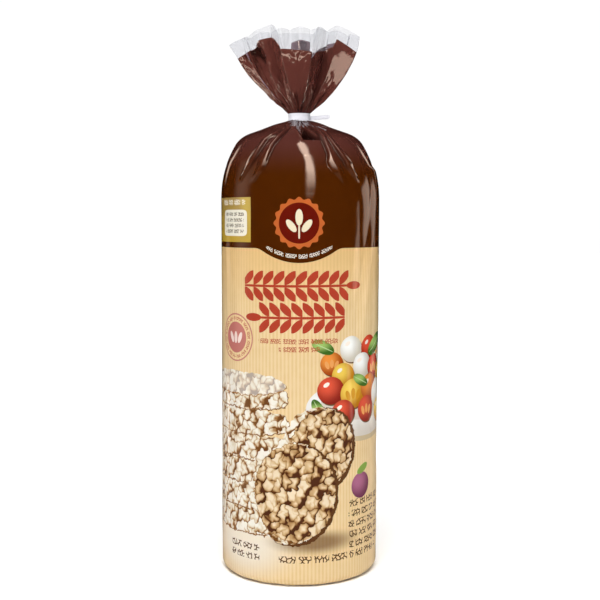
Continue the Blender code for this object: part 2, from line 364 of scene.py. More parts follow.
def body_path():
    """Radius, height and film length of the body's outline: the flat base from near its
    middle, a quarter-round edge, the side, and the shoulder profile, rounded by a moving
    average taken twice, down into the tie."""
    base = [(radius, 0.0) for radius in np.linspace(2.0 * MM, BODY_RADIUS - BASE_EDGE_RADIUS, 16)]
    turns = np.linspace(0.0, 0.5 * math.pi, 9)[1:]
    edge = [
        (
            BODY_RADIUS - BASE_EDGE_RADIUS * (1.0 - math.sin(turn)),
            BASE_EDGE_RADIUS * (1.0 - math.cos(turn)),
        )
        for turn in turns
    ]
    heights = np.linspace(BASE_EDGE_RADIUS, PRINT_SPLIT, 39)[1:].tolist()
    heights += np.linspace(PRINT_SPLIT, BODY_TOP, 22)[1:].tolist()
    side = [(BODY_RADIUS, height) for height in heights]
    corners = np.array(((BODY_RADIUS, BODY_TOP),) + SHOULDER_PROFILE)
    lengths = np.concatenate(([0.0], np.cumsum(np.linalg.norm(np.diff(corners, axis=0), axis=1))))
    fine = np.linspace(0.0, lengths[-1], 400)
    dense = np.stack([np.interp(fine, lengths, corners[:, axis]) for axis in (0, 1)], axis=1)
    reach = int(CORNER_ROUNDING / (fine[1] - fine[0]))
    weights = np.convolve(np.ones(2 * reach + 1), np.ones(2 * reach + 1))
    weights /= weights.sum()
    below = np.linspace(-4.0 * CORNER_ROUNDING, 0.0, 2 * reach, endpoint=False)
    below = np.stack((np.full(2 * reach, BODY_RADIUS), BODY_TOP + 0.5 * below), axis=1)
    padded = np.concatenate((below, dense, np.repeat(dense[-1:], 2 * reach, 0)))
    rounded = np.stack([np.convolve(padded[:, axis], weights, "valid") for axis in (0, 1)], 1)
    rows = np.linspace(0.0, len(rounded) - 1, 88).astype(int)[1:]
    shoulder = [tuple(rounded[row]) for row in rows]
    neck = [(NECK_RADIUS, TIE_BOTTOM + 0.6 * MM), (NECK_RADIUS, TIE_TOP - 1.6 * MM)]
    path = np.array(base + edge + side + shoulder + neck)
    film = np.concatenate(([0.0], np.cumsum(np.linalg.norm(np.diff(path, axis=0), axis=1))))
    film += BASE_EDGE_RADIUS - film[len(base) + len(edge) - 1]
    return path, film


def tuck_relief(bearing, path):
    """Height of the tucks at the shoulder's sides and back. Each is a ridge whose line drifts
    from its bearing at the body to its bearing at the neck. Across it the film rises straight
    from a foot on each side, and both feet and the height shrink to nothing at the ridge's
    lower end, which makes a kite shape there."""
    rng = np.random.default_rng(SEED)
    radius, height = path[:, :1], path[:, 1:]
    grown = np.clip((height - TUCK_START) / (TUCK_FULL - TUCK_START), 0.0, 1.0)
    way = way_up(path)
    relief = np.zeros(bearing.shape)
    for at_body, at_neck, depth in tuck_table():
        wander = rng.normal(0.0, 0.003)
        if depth <= 0.5 * MM or abs((at_body + 0.5) % 1.0 - 0.5) * 360.0 < FRONT_BEARING:
            continue
        line = at_body + wander + 2.0 * ((at_neck - at_body + 0.5) % 1.0 - 0.5) * way
        away = np.radians(half_turn(bearing - 360.0 * line)) * radius
        outside = away * np.sign(math.sin(2.0 * math.pi * at_body) + 1e-9)
        wide = np.where(outside > 0.0, 9.0 * MM, 4.5 * MM) * (0.25 + 0.75 * grown)
        wide = np.minimum(wide, 0.35 * radius)
        tent = np.clip(1.0 - np.abs(outside) / wide, 0.0, None)
        relief += 1.15 * depth * grown * np.clip(radius / (16.0 * MM), 0.0, 1.0) * tent
    return relief


def fold_height(bearing, path, rows):
    """One fold from its rows. Its outer flank falls in a straight line from the crest to its
    foot. On the inner side a flat facet turned towards one bearing comes first, so its slope
    is the tangent of the angle left to that bearing, and then a steep drop."""
    radius, height = path[:, :1], path[:, 1:]
    line, rise, facet, flank = columns_at(rows, (MM, 1.0, MM, MM, MM), height)
    outward = math.copysign(1.0, rows[0][1])
    away = outward * np.radians(half_turn(bearing - line)) * radius
    slope = np.tan(np.radians(np.abs(line - FACET_BEARING + 1.5 * outward)))
    inner = rise + slope * np.maximum(away, -facet) + DROP_SLOPE * np.minimum(away + facet, 0.0)
    outer = rise * (1.0 - away / flank)
    return np.maximum(np.where(away < 0.0, inner, outer), 0.0)


def front_relief(bearing, path):
    """The highest of the front's folds at each point, the tongue and the hollow beside it, and
    how deep in shade each point is, from 0 to 1: in the hollow, and at the foot of the drops."""
    near = half_turn(bearing)
    height = path[:, 1:]
    folds = np.maximum.reduce([fold_height(bearing, path, rows) for rows in SHOULDER_FOLDS])
    left, right, rise = columns_at(TONGUE, (MM, 1.0, 1.0, MM), height)
    inside = np.minimum(near - left, 2.5 * (right - near)) / 9.0
    tongue = rise * np.clip(inside, 0.0, 1.0) * (height > TONGUE[-1][0] * MM)
    limit = np.interp(height, *np.array(HOLLOW_RIGHT).T)
    hollow = smooth(HOLLOW_LEFT, HOLLOW_LEFT + 3.0, near) * smooth(limit, limit - 4.0, near)
    start, full, last, end = HOLLOW_HEIGHTS
    hollow = hollow * smooth(start, full, height) * smooth(end, last, height)
    hollow = hollow * smooth(0.6 * MM, 0.1 * MM, tongue)
    shade = np.zeros(bearing.shape)
    for rows in SHOULDER_FOLDS:
        inwards = math.copysign(2.2, rows[0][1])
        beside = fold_height(bearing + inwards, path, rows)
        here = fold_height(bearing, path, rows)
        shade = np.maximum(shade, 0.55 * smooth(0.2 * MM, 1.5 * MM, beside - here))
    shade *= smooth(246.0 * MM, 255.0 * MM, height)
    relief = np.maximum(folds, tongue) - HOLLOW_DEPTH * hollow
    return relief, np.maximum(shade, hollow)


def gather_relief(shares, path, depth):
    """Fine straight-sided pleats that grow towards the tie."""
    radius = path[:, :1]
    grown = smooth(30.0 * MM, 9.0 * MM, radius)
    on_shoulder = path[:, 1:] > BODY_TOP
    held = np.where(radius < 6.5 * MM, 0.35, 1.0)
    return depth * fine_pleats(shares) * grown * held * on_shoulder


def lap_relief(bearing, path, depth):
    """Slack film on the right: it stands out at once at its upper end, fades out downwards, and
    its near edge is a crease that slants towards the front lower down."""
    height = path[:, 1:]
    bearing = half_turn(bearing)
    crease = 44.0 + 21.0 * smooth(150.0 * MM, 252.0 * MM, height)
    rise = np.clip((bearing - crease) / 8.0, 0.0, 1.0)
    fall = smooth(128.0, 84.0, bearing)
    ends = smooth(254.0 * MM, 249.0 * MM, height) * smooth(60.0 * MM, 190.0 * MM, height)
    return depth * rise * fall * ends


# Creases pulled into the film of the body: bearing and height of both ends, height, half width
BODY_CREASES = (
    (40.0, 150.0 * MM, 46.0, 88.0 * MM, 0.30 * MM, 2.6 * MM),
    (66.0, 148.0 * MM, 54.0, 112.0 * MM, 0.32 * MM, 2.4 * MM),
    (54.0, 112.0 * MM, 68.0, 72.0 * MM, 0.28 * MM, 2.4 * MM),
    (-66.0, 205.0 * MM, -60.0, 120.0 * MM, 0.22 * MM, 3.0 * MM),
    (-120.0, 240.0 * MM, -134.0, 120.0 * MM, 0.35 * MM, 3.2 * MM),
    (118.0, 200.0 * MM, 131.0, 90.0 * MM, 0.32 * MM, 3.0 * MM),
    (150.0, 110.0 * MM, 139.0, 30.0 * MM, 0.30 * MM, 3.0 * MM),
    (-96.0, 90.0 * MM, -88.0, 20.0 * MM, 0.30 * MM, 2.6 * MM),
    (88.0, 70.0 * MM, 80.0, 12.0 * MM, 0.30 * MM, 2.6 * MM),
)


def crease_relief(shares, path):
    """Each crease is a low straight-sided ridge along a line, which fades towards its ends."""
    bearing = (shares[None, :] + 0.5) % 1.0 * 360.0 - 180.0
    height = path[:, 1:]
    relief = np.zeros((len(path), len(shares)))
    for top_bearing, top, low_bearing, low, depth, half in BODY_CREASES:
        along = np.clip((height - low) / (top - low), 0.0, 1.0)
        line = low_bearing + (top_bearing - low_bearing) * along
        away = np.radians(bearing - line) * BODY_RADIUS
        ends = smooth(low - 6.0 * MM, low + 10.0 * MM, height)
        ends = ends * smooth(top + 6.0 * MM, top - 10.0 * MM, height)
        relief += depth * ends * np.clip(1.0 - np.abs(away) / half, 0.0, None)
    return relief


def wave_relief(shares, path):
    """Slow unevenness of film stretched over the stack: a few sine waves, whole numbers of
    them round the body."""
    rng = np.random.default_rng(SEED + 1)
    relief = np.zeros((len(path), len(shares)))
    for turns, length in ((3, 90.0), (5, 70.0), (8, 46.0), (13, 34.0), (21, 27.0)):
        phase = rng.uniform(0.0, 2.0 * math.pi, 2)
        round_wave = np.sin(2.0 * math.pi * turns * shares[None, :] + phase[0])
        up_wave = np.sin(2.0 * math.pi * path[:, 1:] / (length * MM) + phase[1])
        relief += 0.11 * MM / math.sqrt(turns) * round_wave * up_wave
    return relief * smooth(2.0 * MM, 14.0 * MM, path[:, 1:])


def base_relief(shares, path):
    """Folds of the film gathered flat under the base. They only rise into the pack, so the
    pack still stands on its rim, and a sealed disc in the middle stays plain."""
    radius, height = path[:, :1], path[:, 1:]
    under = smooth(6.0 * MM, 1.0 * MM, height) * smooth(7.0 * MM, 12.0 * MM, radius)
    under = under * smooth(BODY_RADIUS, BODY_RADIUS - 7.0 * MM, radius)
    wave = 0.5 + 0.5 * sawtooth(18.0 * shares + 1.4 * radius / BODY_RADIUS)
    return -0.9 * MM * under * wave - 0.5 * MM * (radius < 9.0 * MM) * (height < 1.0 * MM)


def new_object(name, data):
    """An object of this data in the scene."""
    made = bpy.data.objects.new(name, data)
    bpy.context.scene.collection.objects.link(made)
    return made


def ring_mesh(name, rings, materials, slots, poles, film, shares, shade=None):
    """A closed skin over rings of points, each with the same number. With poles, both ends
    run into a point; without, the last ring joins the first. slots is the material of the band
    of faces above each ring, film is each ring's length along the film, shares is each
    column's share of the way round, and shade is the painted shade of each point, from how
    deep in a fold it lies."""
    rings = np.asarray(rings)
    rows, columns = rings.shape[:2]
    points = rings.reshape(-1, 3)
    low = np.arange(rows - 1 if poles else rows)
    high = (low + 1) % rows
    column = np.arange(columns)
    after = (column + 1) % columns
    following = np.append(shares[1:], shares[0] + 1.0)
    corner_columns = (column, after, after, column)
    corner_shares = (shares, following, following, shares)
    corner_rows = (low, low, high, high)
    quads = [row[:, None] * columns + side for row, side in zip(corner_rows, corner_columns)]
    quads = np.stack(quads, axis=-1).reshape(-1, 4)
    corners = [
        np.stack(np.broadcast_arrays(share, film[row][:, None]), -1)
        for row, share in zip(corner_rows, corner_shares)
    ]
    corners = np.stack(corners, axis=2).reshape(-1, 2)
    faces = quads.tolist()
    face_slots = np.repeat(np.asarray(slots)[low], columns)
    if poles:
        first, last = len(points), len(points) + 1
        points = np.concatenate((points, rings[:1].mean(axis=1), rings[-1:].mean(axis=1)))
        top = (rows - 1) * columns
        faces += np.stack((after, column, np.full(columns, first)), -1).tolist()
        faces += np.stack((top + column, top + after, np.full(columns, last)), -1).tolist()
        ends = []
        for row, order in ((0, (1, 0)), (rows - 1, (0, 1))):
            sides = np.stack((shares, following), -1)[:, order]
            middle = 0.5 * (shares + following)
            share = np.concatenate((sides, middle[:, None]), axis=1)
            ends.append(np.stack((share, np.full(share.shape, film[row])), -1).reshape(-1, 2))
        corners = np.concatenate([corners] + ends)
        face_slots = np.concatenate(
            (face_slots, np.full(columns, slots[0]), np.full(columns, slots[rows - 2]))
        )
    mesh = bpy.data.meshes.new(name)
    mesh.from_pydata(points.tolist(), [], faces)
    layer = mesh.uv_layers.new(name="film")
    corners[:, 0] *= PERIMETER
    layer.data.foreach_set("uv", corners.astype(np.float32).ravel())
    if shade is not None:
        # The painted shade of each point, kept for the inks to darken by
        depth = np.zeros(len(points), np.float32)
        depth[: shade.size] = shade.ravel()
        mesh.attributes.new("painted_fold_shade", "FLOAT", "POINT").data.foreach_set("value", depth)
    for material in materials:
        mesh.materials.append(material)
    mesh.polygons.foreach_set("material_index", face_slots.astype(np.int32))
    mesh.shade_smooth()
    mesh.validate()
    return new_object(name, mesh)


def film_shares(columns, crowd=0.0):
    """Shares of the way round for the columns, from the back's middle round by the left. A sine
    crowds them towards the front's middle."""
    even = np.arange(columns) / columns - 0.5
    return even - crowd * np.sin(2.0 * math.pi * even) / (2.0 * math.pi)


def body_surface(sizes):
    """Rings of the body's skin: its outline turned round the axis, and moved along the
    outline's normal by the sum of the reliefs."""
    path, film = body_path()
    shares = film_shares(BODY_COLUMNS, FRONT_CROWD)
    slope = np.gradient(path, axis=0)
    normal = np.stack((slope[:, 1], -slope[:, 0]), axis=1)
    normal /= np.linalg.norm(normal, axis=1)[:, None]
    bearing = 360.0 * (shares[None, :] + lean_of(shares)[None, :] * way_up(path))
    front, shade = front_relief(bearing, path)
    relief = (
        tuck_relief(bearing, path)
        + front
        + gather_relief(shares, path, sizes.gather)
        + lap_relief(bearing, path, sizes.lap)
        + crease_relief(shares, path)
        + wave_relief(shares, path)
        + base_relief(shares, path)
    )
    radius = path[:, :1] + normal[:, :1] * relief
    height = np.maximum(path[:, 1:] + normal[:, 1:] * relief, 0.0)
    return round_axis(np.radians(bearing), radius, height), film, shares, shade


def mouth_table(shares):
    """The rows of the mouth's table at these shares, in metres, on straight lines between the
    folds."""
    folds = np.array(MOUTH_FOLDS) * (MM, MM, MM, 1.0, MM)
    steps = np.linalg.norm((np.roll(folds, -1, axis=0) - folds)[:, :2], axis=1)
    known = np.concatenate(([0.0], np.cumsum(steps)[:-1])) / steps.sum()
    return [around(shares, known, column) for column in folds.T]


def facets(shares, along, wide, tall, seed):
    """Dented film: random heights from -1 to 1 at the corners of a lattice of cells, wide round
    the film and tall along it, joined by flat triangles with straight creases between them.
    Slow waves bend the lattice, and a random diagonal cuts each cell in two. A whole number
    of cells goes round."""
    rng = np.random.default_rng(seed)
    count = round(PERIMETER / wide)
    heights = rng.uniform(-1.0, 1.0, (int(along.max() / tall) + 5, count))
    swap = rng.random(heights.shape) < 0.5
    turn = 2.0 * math.pi * shares[None, :]
    across = shares * count + 0.45 * np.sin(2.1 * along / tall + 5.0 * turn)
    up = along / tall + 2.0 + 0.45 * np.sin(9.0 * turn + 1.7)
    up = up + 0.3 * np.sin(round(0.6 * count) * turn)
    column, row = np.floor(across).astype(int), np.floor(up).astype(int)
    side, rise = across - column, up - row
    column = column % count
    swapped = swap[row, column]
    near = np.where(swapped, (column + 1) % count, column)
    far = np.where(swapped, column, (column + 1) % count)
    side = np.where(swapped, 1.0 - side, side)
    corner, beside = heights[row, near], heights[row, far]
    over, opposite = heights[row + 1, near], heights[row + 1, far]
    first = corner + side * (beside - corner) + rise * (over - corner)
    second = opposite + (1.0 - side) * (over - opposite) + (1.0 - rise) * (beside - opposite)
    return np.where(side + rise < 1.0, first, second)


def normals_of(rings):
    """Outward unit normals of a grid of rings."""
    round_step = np.roll(rings, -1, axis=1) - np.roll(rings, 1, axis=1)
    up_step = np.gradient(rings, axis=0)
    normal = np.cross(round_step, up_step)
    return normal / np.linalg.norm(normal, axis=2)[:, :, None]


def ruffle_surface(sizes):
    """Rings of the film above the tie, from the neck to the print's edge and on to the mouth.
    Each column is a strip of its fold's length, so the further it leans out, the lower its
    end. It leaves the neck outwards by its flare and straightens towards the mouth. Dents and
    the neck's fine pleats are added along the normal."""
    shares = film_shares(RUFFLE_COLUMNS)
    mouth_x, mouth_y, length, flare, printed = mouth_table(shares)
    print_end = printed / length
    rows = np.linspace(0.0, 1.0, PRINT_ROWS)[:, None]
    hem_rows = np.linspace(0.0, 1.0, HEM_ROWS + 1)[1:, None]
    ways = np.concatenate((rows * print_end, print_end + (1.0 - print_end) * hem_rows))
    foot = TIE_TOP + NECK_LIP_RISE
    lean = lean_of(shares)[None, :] * (1.0 - ways)
    start = round_axis(2.0 * math.pi * (shares[None, :] + lean), NECK_LIP_RADIUS, foot)
    mouth = np.stack((mouth_x, mouth_y), axis=-1)
    reach = np.linalg.norm(mouth[None, :] - start[:, :, :2], axis=2)
    rise = np.sqrt(length**2 - reach**2)
    spread = (ways * (flare - (flare - 1.0) * ways))[:, :, None]
    flat = start[:, :, :2] + (mouth[None, :] - start[:, :, :2]) * spread
    rings = np.concatenate((flat, (foot + rise * ways)[:, :, None]), axis=2)
    lengths = ways * length
    bearing = shares * 360.0
    # Most dented on the left and towards the back, and nearly smooth on the right
    lively = 0.30 + 0.85 * hump(bearing, -62.0, 30.0) + 0.5 * hump(np.abs(bearing), 150.0, 50.0)
    lively = lively * (1.0 - 0.75 * hump(bearing, 77.0, 9.0))
    lively = np.maximum(lively, 1.0 - smooth(0.12, 0.5, ways))
    past = (ways - print_end) / (1.0 - print_end)
    lively = lively * (1.0 - 0.6 * smooth(0.0, 1.0, past))
    dents = facets(shares, lengths, 11.0 * MM, 17.0 * MM, SEED + 2)
    fine = 0.55 * facets(shares, lengths, 5.5 * MM, 8.0 * MM, SEED + 3)
    fine = fine + 0.22 * facets(shares, lengths, 2.6 * MM, 4.0 * MM, SEED + 4)
    dents = dents + fine * (1.0 - smooth(-0.1, 0.25, past))
    pleats = fine_pleats(shares)
    relief = sizes.crumple * dents * lively * smooth(0.0, 0.2, ways)
    relief = relief + 0.8 * sizes.gather * pleats[None, :] * smooth(0.42, 0.0, ways)
    # Painted shade: deepest in the hollows of the dents on the printed film, and between the fine
    # pleats near the neck
    shade = 0.8 * smooth(-0.2, -1.0, dents * lively) * (ways < print_end)
    shade = np.maximum(shade, 0.7 * smooth(-0.2, -0.9, pleats) * smooth(0.36, 0.05, ways))
    return rings + normals_of(rings) * relief[:, :, None], lengths, shares, shade


# Materials


def add_node(tree, kind, *inputs, out=None, **settings):
    """Adds a node and gives its output of the name or number out, or else the first in use.
    inputs are, for its sockets in order, or in a dictionary by name or number, a value, a hex
    colour or the output that feeds the socket; settings are the node's own."""
    node = tree.nodes.new("ShaderNode" + kind)
    for name, value in settings.items():
        setattr(node, name, value)
    named = inputs and isinstance(inputs[0], dict)
    for key, value in inputs[0].items() if named else enumerate(inputs):
        if isinstance(value, bpy.types.NodeSocket):
            tree.links.new(value, node.inputs[key])
        else:
            node.inputs[key].default_value = linear(value) if isinstance(value, str) else value
    if out is not None:
        return node.outputs[out]
    return next((socket for socket in node.outputs if socket.enabled), None)


def new_material(name):
    """An empty material, and add_node for its tree, which the functions below call add."""
    material = bpy.data.materials.new(name)
    material.use_nodes = True
    material.node_tree.nodes.clear()
    return material, functools.partial(add_node, material.node_tree)


def placed(add, place, centre, half, turn=0.0):
    """Coordinates in which a shape at centre, of these half sizes and this turn, is 1 in
    half size."""
    if not turn:
        scale = (1.0 / half[0], 1.0 / half[1], 0.0)
        offset = (-centre[0] / half[0], -centre[1] / half[1], 0.0)
        return add("VectorMath", place, scale, offset, operation="MULTIPLY_ADD")
    away = add("VectorMath", place, (*centre, 0.0), operation="SUBTRACT")
    cosine, sine = math.cos(math.radians(turn)), math.sin(math.radians(turn))
    axes = ((cosine / half[0], sine / half[0], 0.0), (-sine / half[1], cosine / half[1], 0.0))
    parts = [add("VectorMath", away, axis, operation="DOT_PRODUCT") for axis in axes]
    return add("CombineXYZ", parts[0], parts[1])


def oval(add, place, centre, half, turn=0.0):
    """1 inside an ellipse."""
    unit = placed(add, place, centre, half, turn)
    length = add("VectorMath", unit, operation="LENGTH")
    return add("Math", length, 1.0, operation="LESS_THAN")


def plate(add, place, centre, half, sharp=3):
    """1 inside a rounded rectangle: where x and y, each to the power of 2 to the sharp, add up
    to less than 1."""
    power = placed(add, place, centre, half)
    for _ in range(sharp):
        power = add("VectorMath", power, power, operation="MULTIPLY")
    total = add("VectorMath", power, (1.0, 1.0, 0.0), operation="DOT_PRODUCT")
    return add("Math", total, 1.0, operation="LESS_THAN")


def polar(add, place):
    """The angle round the middle and the distance from it."""
    across, up = add("SeparateXYZ", place).node.outputs[:2]
    angle = add("Math", up, across, operation="ARCTAN2")
    return angle, add("VectorMath", place, operation="LENGTH")


def cells(add, place, centre, pitch, count):
    """Coordinates that start again every pitch along U, for a row of count cells about
    centre, and a mask of the row."""
    shift = 0.0 if count % 2 else 0.5 * pitch
    moved = add("VectorMath", place, (centre[0] + shift, centre[1], 0.0), operation="SUBTRACT")
    cell = add(
        "VectorMath", moved, (0.5 * pitch, 1000.0, 1.0), (-0.5 * pitch, -1000.0, -1.0),
        operation="WRAP",
    )
    return cell, plate(add, place, centre, (0.5 * pitch * count, 100.0), 4)


def both(add, first, second):
    """1 where both masks are."""
    return add("Math", first, second, operation="MULTIPLY")


def either(add, masks):
    """1 where any of the masks is."""
    found = masks[0]
    for mask in masks[1:]:
        found = add("Math", found, mask, operation="MAXIMUM")
    return found


def ear(add, place, centre, count, facing):
    """A grain ear lying along U: a stem, and a row of kernels slanting off each side of it."""
    pitch, kernel = 6.7, (5.3, 2.35)
    masks = [plate(add, place, centre, (0.5 * pitch * count, 0.75), 3)]
    for side in (1.0, -1.0):
        cell, row = cells(add, place, (centre[0], centre[1] + 4.9 * side), pitch, count)
        masks.append(both(add, row, oval(add, cell, (0.0, 0.0), kernel, 46.0 * side * facing)))
    tip = centre[0] + facing * (0.5 * pitch * count + 4.2)
    masks.append(oval(add, place, (tip, centre[1]), (5.6, 2.4)))
    return either(add, masks)


def lettering(add, place, net, centre, half, rows=1, pitch=1.0):
    """Rows of marks as dense as small lettering, without any letters: thin lines of a random
    net, cut into groups of random lengths like words. The groups are the stretches between
    points scattered along a line, and each row starts elsewhere on it."""
    across, high = add("SeparateXYZ", place).node.outputs[:2]
    up = add("Math", high, 1.0 / pitch, 0.5 * rows - centre[1] / pitch, operation="MULTIPLY_ADD")
    row = add("Math", up, operation="FLOOR")
    part = add("Math", up, operation="FRACT")
    start = add("Math", row, 37.3, across, operation="MULTIPLY_ADD")
    edge = add(
        "TexVoronoi", {"W": start, "Scale": 1.0 / (3.6 * half[1] + 2.0)}, voronoi_dimensions="1D",
        feature="DISTANCE_TO_EDGE",
    )
    words = add("Math", edge, 0.09, operation="GREATER_THAN")
    strokes = add("Math", net, 0.15, operation="LESS_THAN")
    words = both(add, words, strokes)
    line = add("CombineXYZ", across, part)
    line = plate(add, line, (centre[0], 0.5), (half[0], half[1] / pitch), 3)
    block = plate(add, place, centre, (half[0] + 4.0, 0.5 * rows * pitch + 0.01), 6)
    return both(add, both(add, words, line), block)


def badge_layers(add, place, textures):
    """A scalloped badge with a sprig of three grains."""
    centre = (0.0, 217.4)
    angle, length = polar(add, placed(add, place, centre, (14.6, 14.6)))
    lobes = add("Math", angle, 16.0, operation="MULTIPLY")
    wave = add("Math", lobes, operation="COSINE")
    rim = add("Math", wave, 0.05, 1.0, operation="MULTIPLY_ADD")
    yield add("Math", length, rim, operation="LESS_THAN"), "CA6832"
    yield oval(add, place, centre, (12.0, 12.0)), "6A170B"
    grains = [oval(add, place, (centre[0], centre[1] + 3.4), (2.2, 4.8))]
    for side in (1.0, -1.0):
        at = (centre[0] + 4.6 * side, centre[1] - 1.6)
        grains.append(oval(add, place, at, (2.0, 4.4), -38.0 * side))
    grains.append(plate(add, place, (centre[0], centre[1] - 5.0), (0.5, 4.2), 2))
    yield either(add, grains), "F2E4C4"
    # Short pale marks on a curve that follows the brown field's dip
    bent = add("VectorMath", place, place, operation="MULTIPLY")
    lift = add("VectorMath", bent, (-1.0 / DIP_CURVE, 0.0, 0.0), operation="DOT_PRODUCT")
    lift = add("CombineXYZ", {1: lift})
    flat = add("VectorMath", place, lift, operation="ADD")
    marks = lettering(add, flat, textures["net"], (0.0, 197.8), (20.0, 1.2), 1, 3.0)
    yield marks, "F3EBDD"


def panel_layers(add, place, textures):
    """A gold field on the left with a pale label, which holds rows of small marks."""
    gold = plate(add, place, (-53.2, 219.4), (22.4, 13.4), 8)
    height = add("SeparateXYZ", place, out=1)
    shade = add("MapRange", {"Value": height, "From Min": 206.0, "From Max": 234.0})
    tone = add("Mix", {0: shade, 6: "C9A63C", 7: "A88A50"}, data_type="RGBA")
    yield gold, tone
    # Painted sheen: a brighter band slants over the gold, like light caught on foil
    slant = add("VectorMath", place, (0.8, 0.35, 0.0), operation="DOT_PRODUCT")
    painted_sheen = add(
        "MapRange", {"Value": slant, "From Min": 46.0, "From Max": 52.0, "To Max": 0.5},
        interpolation_type="SMOOTHSTEP",
    )
    yield both(add, gold, painted_sheen), "E6C75C"
    yield plate(add, place, (-46.1, 217.5), (12.4, 7.9), 3), "F4EEDC"
    rows = lettering(add, place, textures["net"], (-46.1, 217.6), (9.8, 1.1), 4, 3.4)
    yield rows, "6E6148"
    top = lettering(add, place, textures["net"], (-48.0, 229.8), (13.0, 1.6), 1, 4.0)
    yield top, "FBF6E6"


def seal_layers(add, place, textures):
    """A thin ring round a soft red disc with three pale grains."""
    centre = (-44.0, 148.4)
    outer = oval(add, place, centre, (14.6, 14.6))
    inner = oval(add, place, centre, (13.7, 13.7))
    ring = add("Math", outer, inner, operation="SUBTRACT")
    yield ring, "C98072"
    yield oval(add, place, centre, (9.4, 9.4)), "C2736A"
    away = add("VectorMath", place, (*centre, 0.0), operation="SUBTRACT")
    angle, length = polar(add, away)
    turns = add("Math", angle, 12.0, operation="MULTIPLY")
    rolled = add("CombineXYZ", turns, length)
    ring = lettering(add, rolled, textures["net"], (0.0, 11.6), (37.0, 1.0), 1, 3.0)
    yield ring, "BE5A4C"
    grains = [
        oval(add, place, (centre[0] + 4.0 * step, centre[1]), (1.5, 3.6), -24.0 * step)
        for step in (-1, 0, 1)
    ]
    yield either(add, grains), "F3DCD2"


def ball(add, place, centre, half, dark, light, turn=0.0):
    """A round thing lit from its upper left: its tone falls off from a light spot to a dark
    rim. Gives its mask and tone."""
    mask = oval(add, place, centre, half, turn)
    spot = (centre[0] - 0.3 * half[0], centre[1] + 0.35 * half[1])
    unit = placed(add, place, spot, half)
    length = add("VectorMath", unit, operation="LENGTH")
    fall = add(
        "MapRange", {"Value": length, "From Min": 0.15, "From Max": 1.35},
        interpolation_type="SMOOTHSTEP",
    )
    tone = add("Mix", {0: fall, 6: light, 7: dark}, data_type="RGBA")
    return mask, tone


def dish_layers(add, place):
    """A white dish with whole and halved cherry tomatoes, white cheese balls and leaves."""
    yield oval(add, place, (49.0, 104.0), (46.0, 19.0)), "CDB893"
    yield ball(add, place, (49.0, 107.5), (45.0, 19.5), "D8D0C4", "FFFFFF")
    yield oval(add, place, (50.0, 112.0), (37.0, 14.0)), "D9D0C2"
    red, yellow, white, orange = (
        ("8E1D10", "E2553A"),
        ("C07A10", "F6D25A"),
        ("CFC6B4", "FFFFFB"),
        ("A9440E", "EE9440"),
    )
    pieces = (
        (20.0, 134.0, 7.4, orange),
        (34.0, 142.0, 8.4, white),
        (50.0, 142.0, 8.0, red),
        (65.0, 139.0, 8.6, white),
        (28.0, 126.5, 8.0, yellow),
        (43.5, 131.5, 8.2, white),
        (57.0, 129.5, 8.4, red),
        (71.0, 124.0, 8.6, yellow),
        (19.5, 118.0, 8.8, red),
        (35.5, 115.0, 9.6, yellow),
        (51.0, 117.5, 8.8, orange),
        (64.0, 112.5, 9.2, white),
        (48.0, 104.5, 8.6, red),
        (28.0, 104.0, 8.4, red),
        (68.0, 101.5, 8.0, yellow),
    )
    for index, (u, v, size, (dark, light)) in enumerate(pieces):
        half = (size, 0.94 * size)
        yield oval(add, place, (u + 0.7, v - 0.9), half), "6A4526"
        yield ball(add, place, (u, v), half, dark, light)
        if index % 3 == 0:
            for step in (-1.0, 0.0, 1.0):
                seed_at = (u + 0.42 * size * step, v - 0.1 * size * abs(step))
                seed = oval(add, place, seed_at, (0.17 * size, 0.34 * size), -22.0 * step)
                yield seed, "E9A25A" if light != "F6D25A" else "D99A2A"
        else:
            gleam_at = (u - 0.34 * size, v + 0.4 * size)
            yield oval(add, place, gleam_at, (0.24 * size, 0.14 * size), 30), "FFF3E4"
    leaves = (
        (14.5, 144.0, 7.5, 3.8, 155.0),
        (59.0, 143.3, 11.0, 5.0, 28.0),
        (42.0, 122.5, 7.0, 3.2, -25.0),
        (74.0, 143.5, 9.0, 4.6, -35.0),
        (12.0, 106.0, 8.0, 3.4, 118.0),
    )
    for u, v, length, width, turn in leaves:
        yield ball(add, place, (u, v), (length, width), "3F6B25", "A2C66A", turn)
        yield oval(add, place, (u, v), (length * 0.9, 0.3), turn), "BFD69A"


def scatter(add, colour):
    """A noise's colour as a vector with no height."""
    red, green = add("SeparateColor", colour).node.outputs[:2]
    return add("CombineXYZ", red, green)


def grain_depth(add, place, size):
    """How deep a point lies between puffed grains of this size in mm, lit from the upper left:
    the distance to the nearest of scattered points, each point's own shade, and which side of
    it we are on."""
    wobble = add("TexNoise", {"Vector": place, "Scale": 0.2, "Detail": 1.2}, out="Color")
    stretched = add(
        "VectorMath", scatter(add, wobble), (8.0, 8.0, 0.0), place, operation="MULTIPLY_ADD"
    )
    stretched = add("VectorMath", stretched, (1.0 / size, 0.72 / size, 0.0), operation="MULTIPLY")
    grains = add(
        "TexVoronoi", {"Vector": stretched, "Scale": 1.0}, voronoi_dimensions="2D", feature="F1"
    )
    depth, colour, middle = grains.node.outputs[:3]
    shade = add("SeparateColor", colour)
    away = add("VectorMath", stretched, middle, operation="SUBTRACT")
    lit = add("VectorMath", away, (0.30, -0.42, 0.0), operation="DOT_PRODUCT")
    blotch = add("TexNoise", {"Vector": place, "Scale": 0.09, "Detail": 2.0})
    for value, share in ((shade, -0.42), (lit, 1.0), (blotch, 0.55)):
        depth = add("Math", value, share, depth, operation="MULTIPLY_ADD")
    return depth


def haze(add, place, centre, half, amount):
    """A mask that grows softly from nothing at the edge of an oval to this amount."""
    away = placed(add, place, centre, half)
    away = add("VectorMath", away, operation="LENGTH")
    return add(
        "MapRange", {"Value": away, "From Min": 1.0, "From Max": 0.25, "To Max": amount},
        interpolation_type="SMOOTHSTEP",
    )


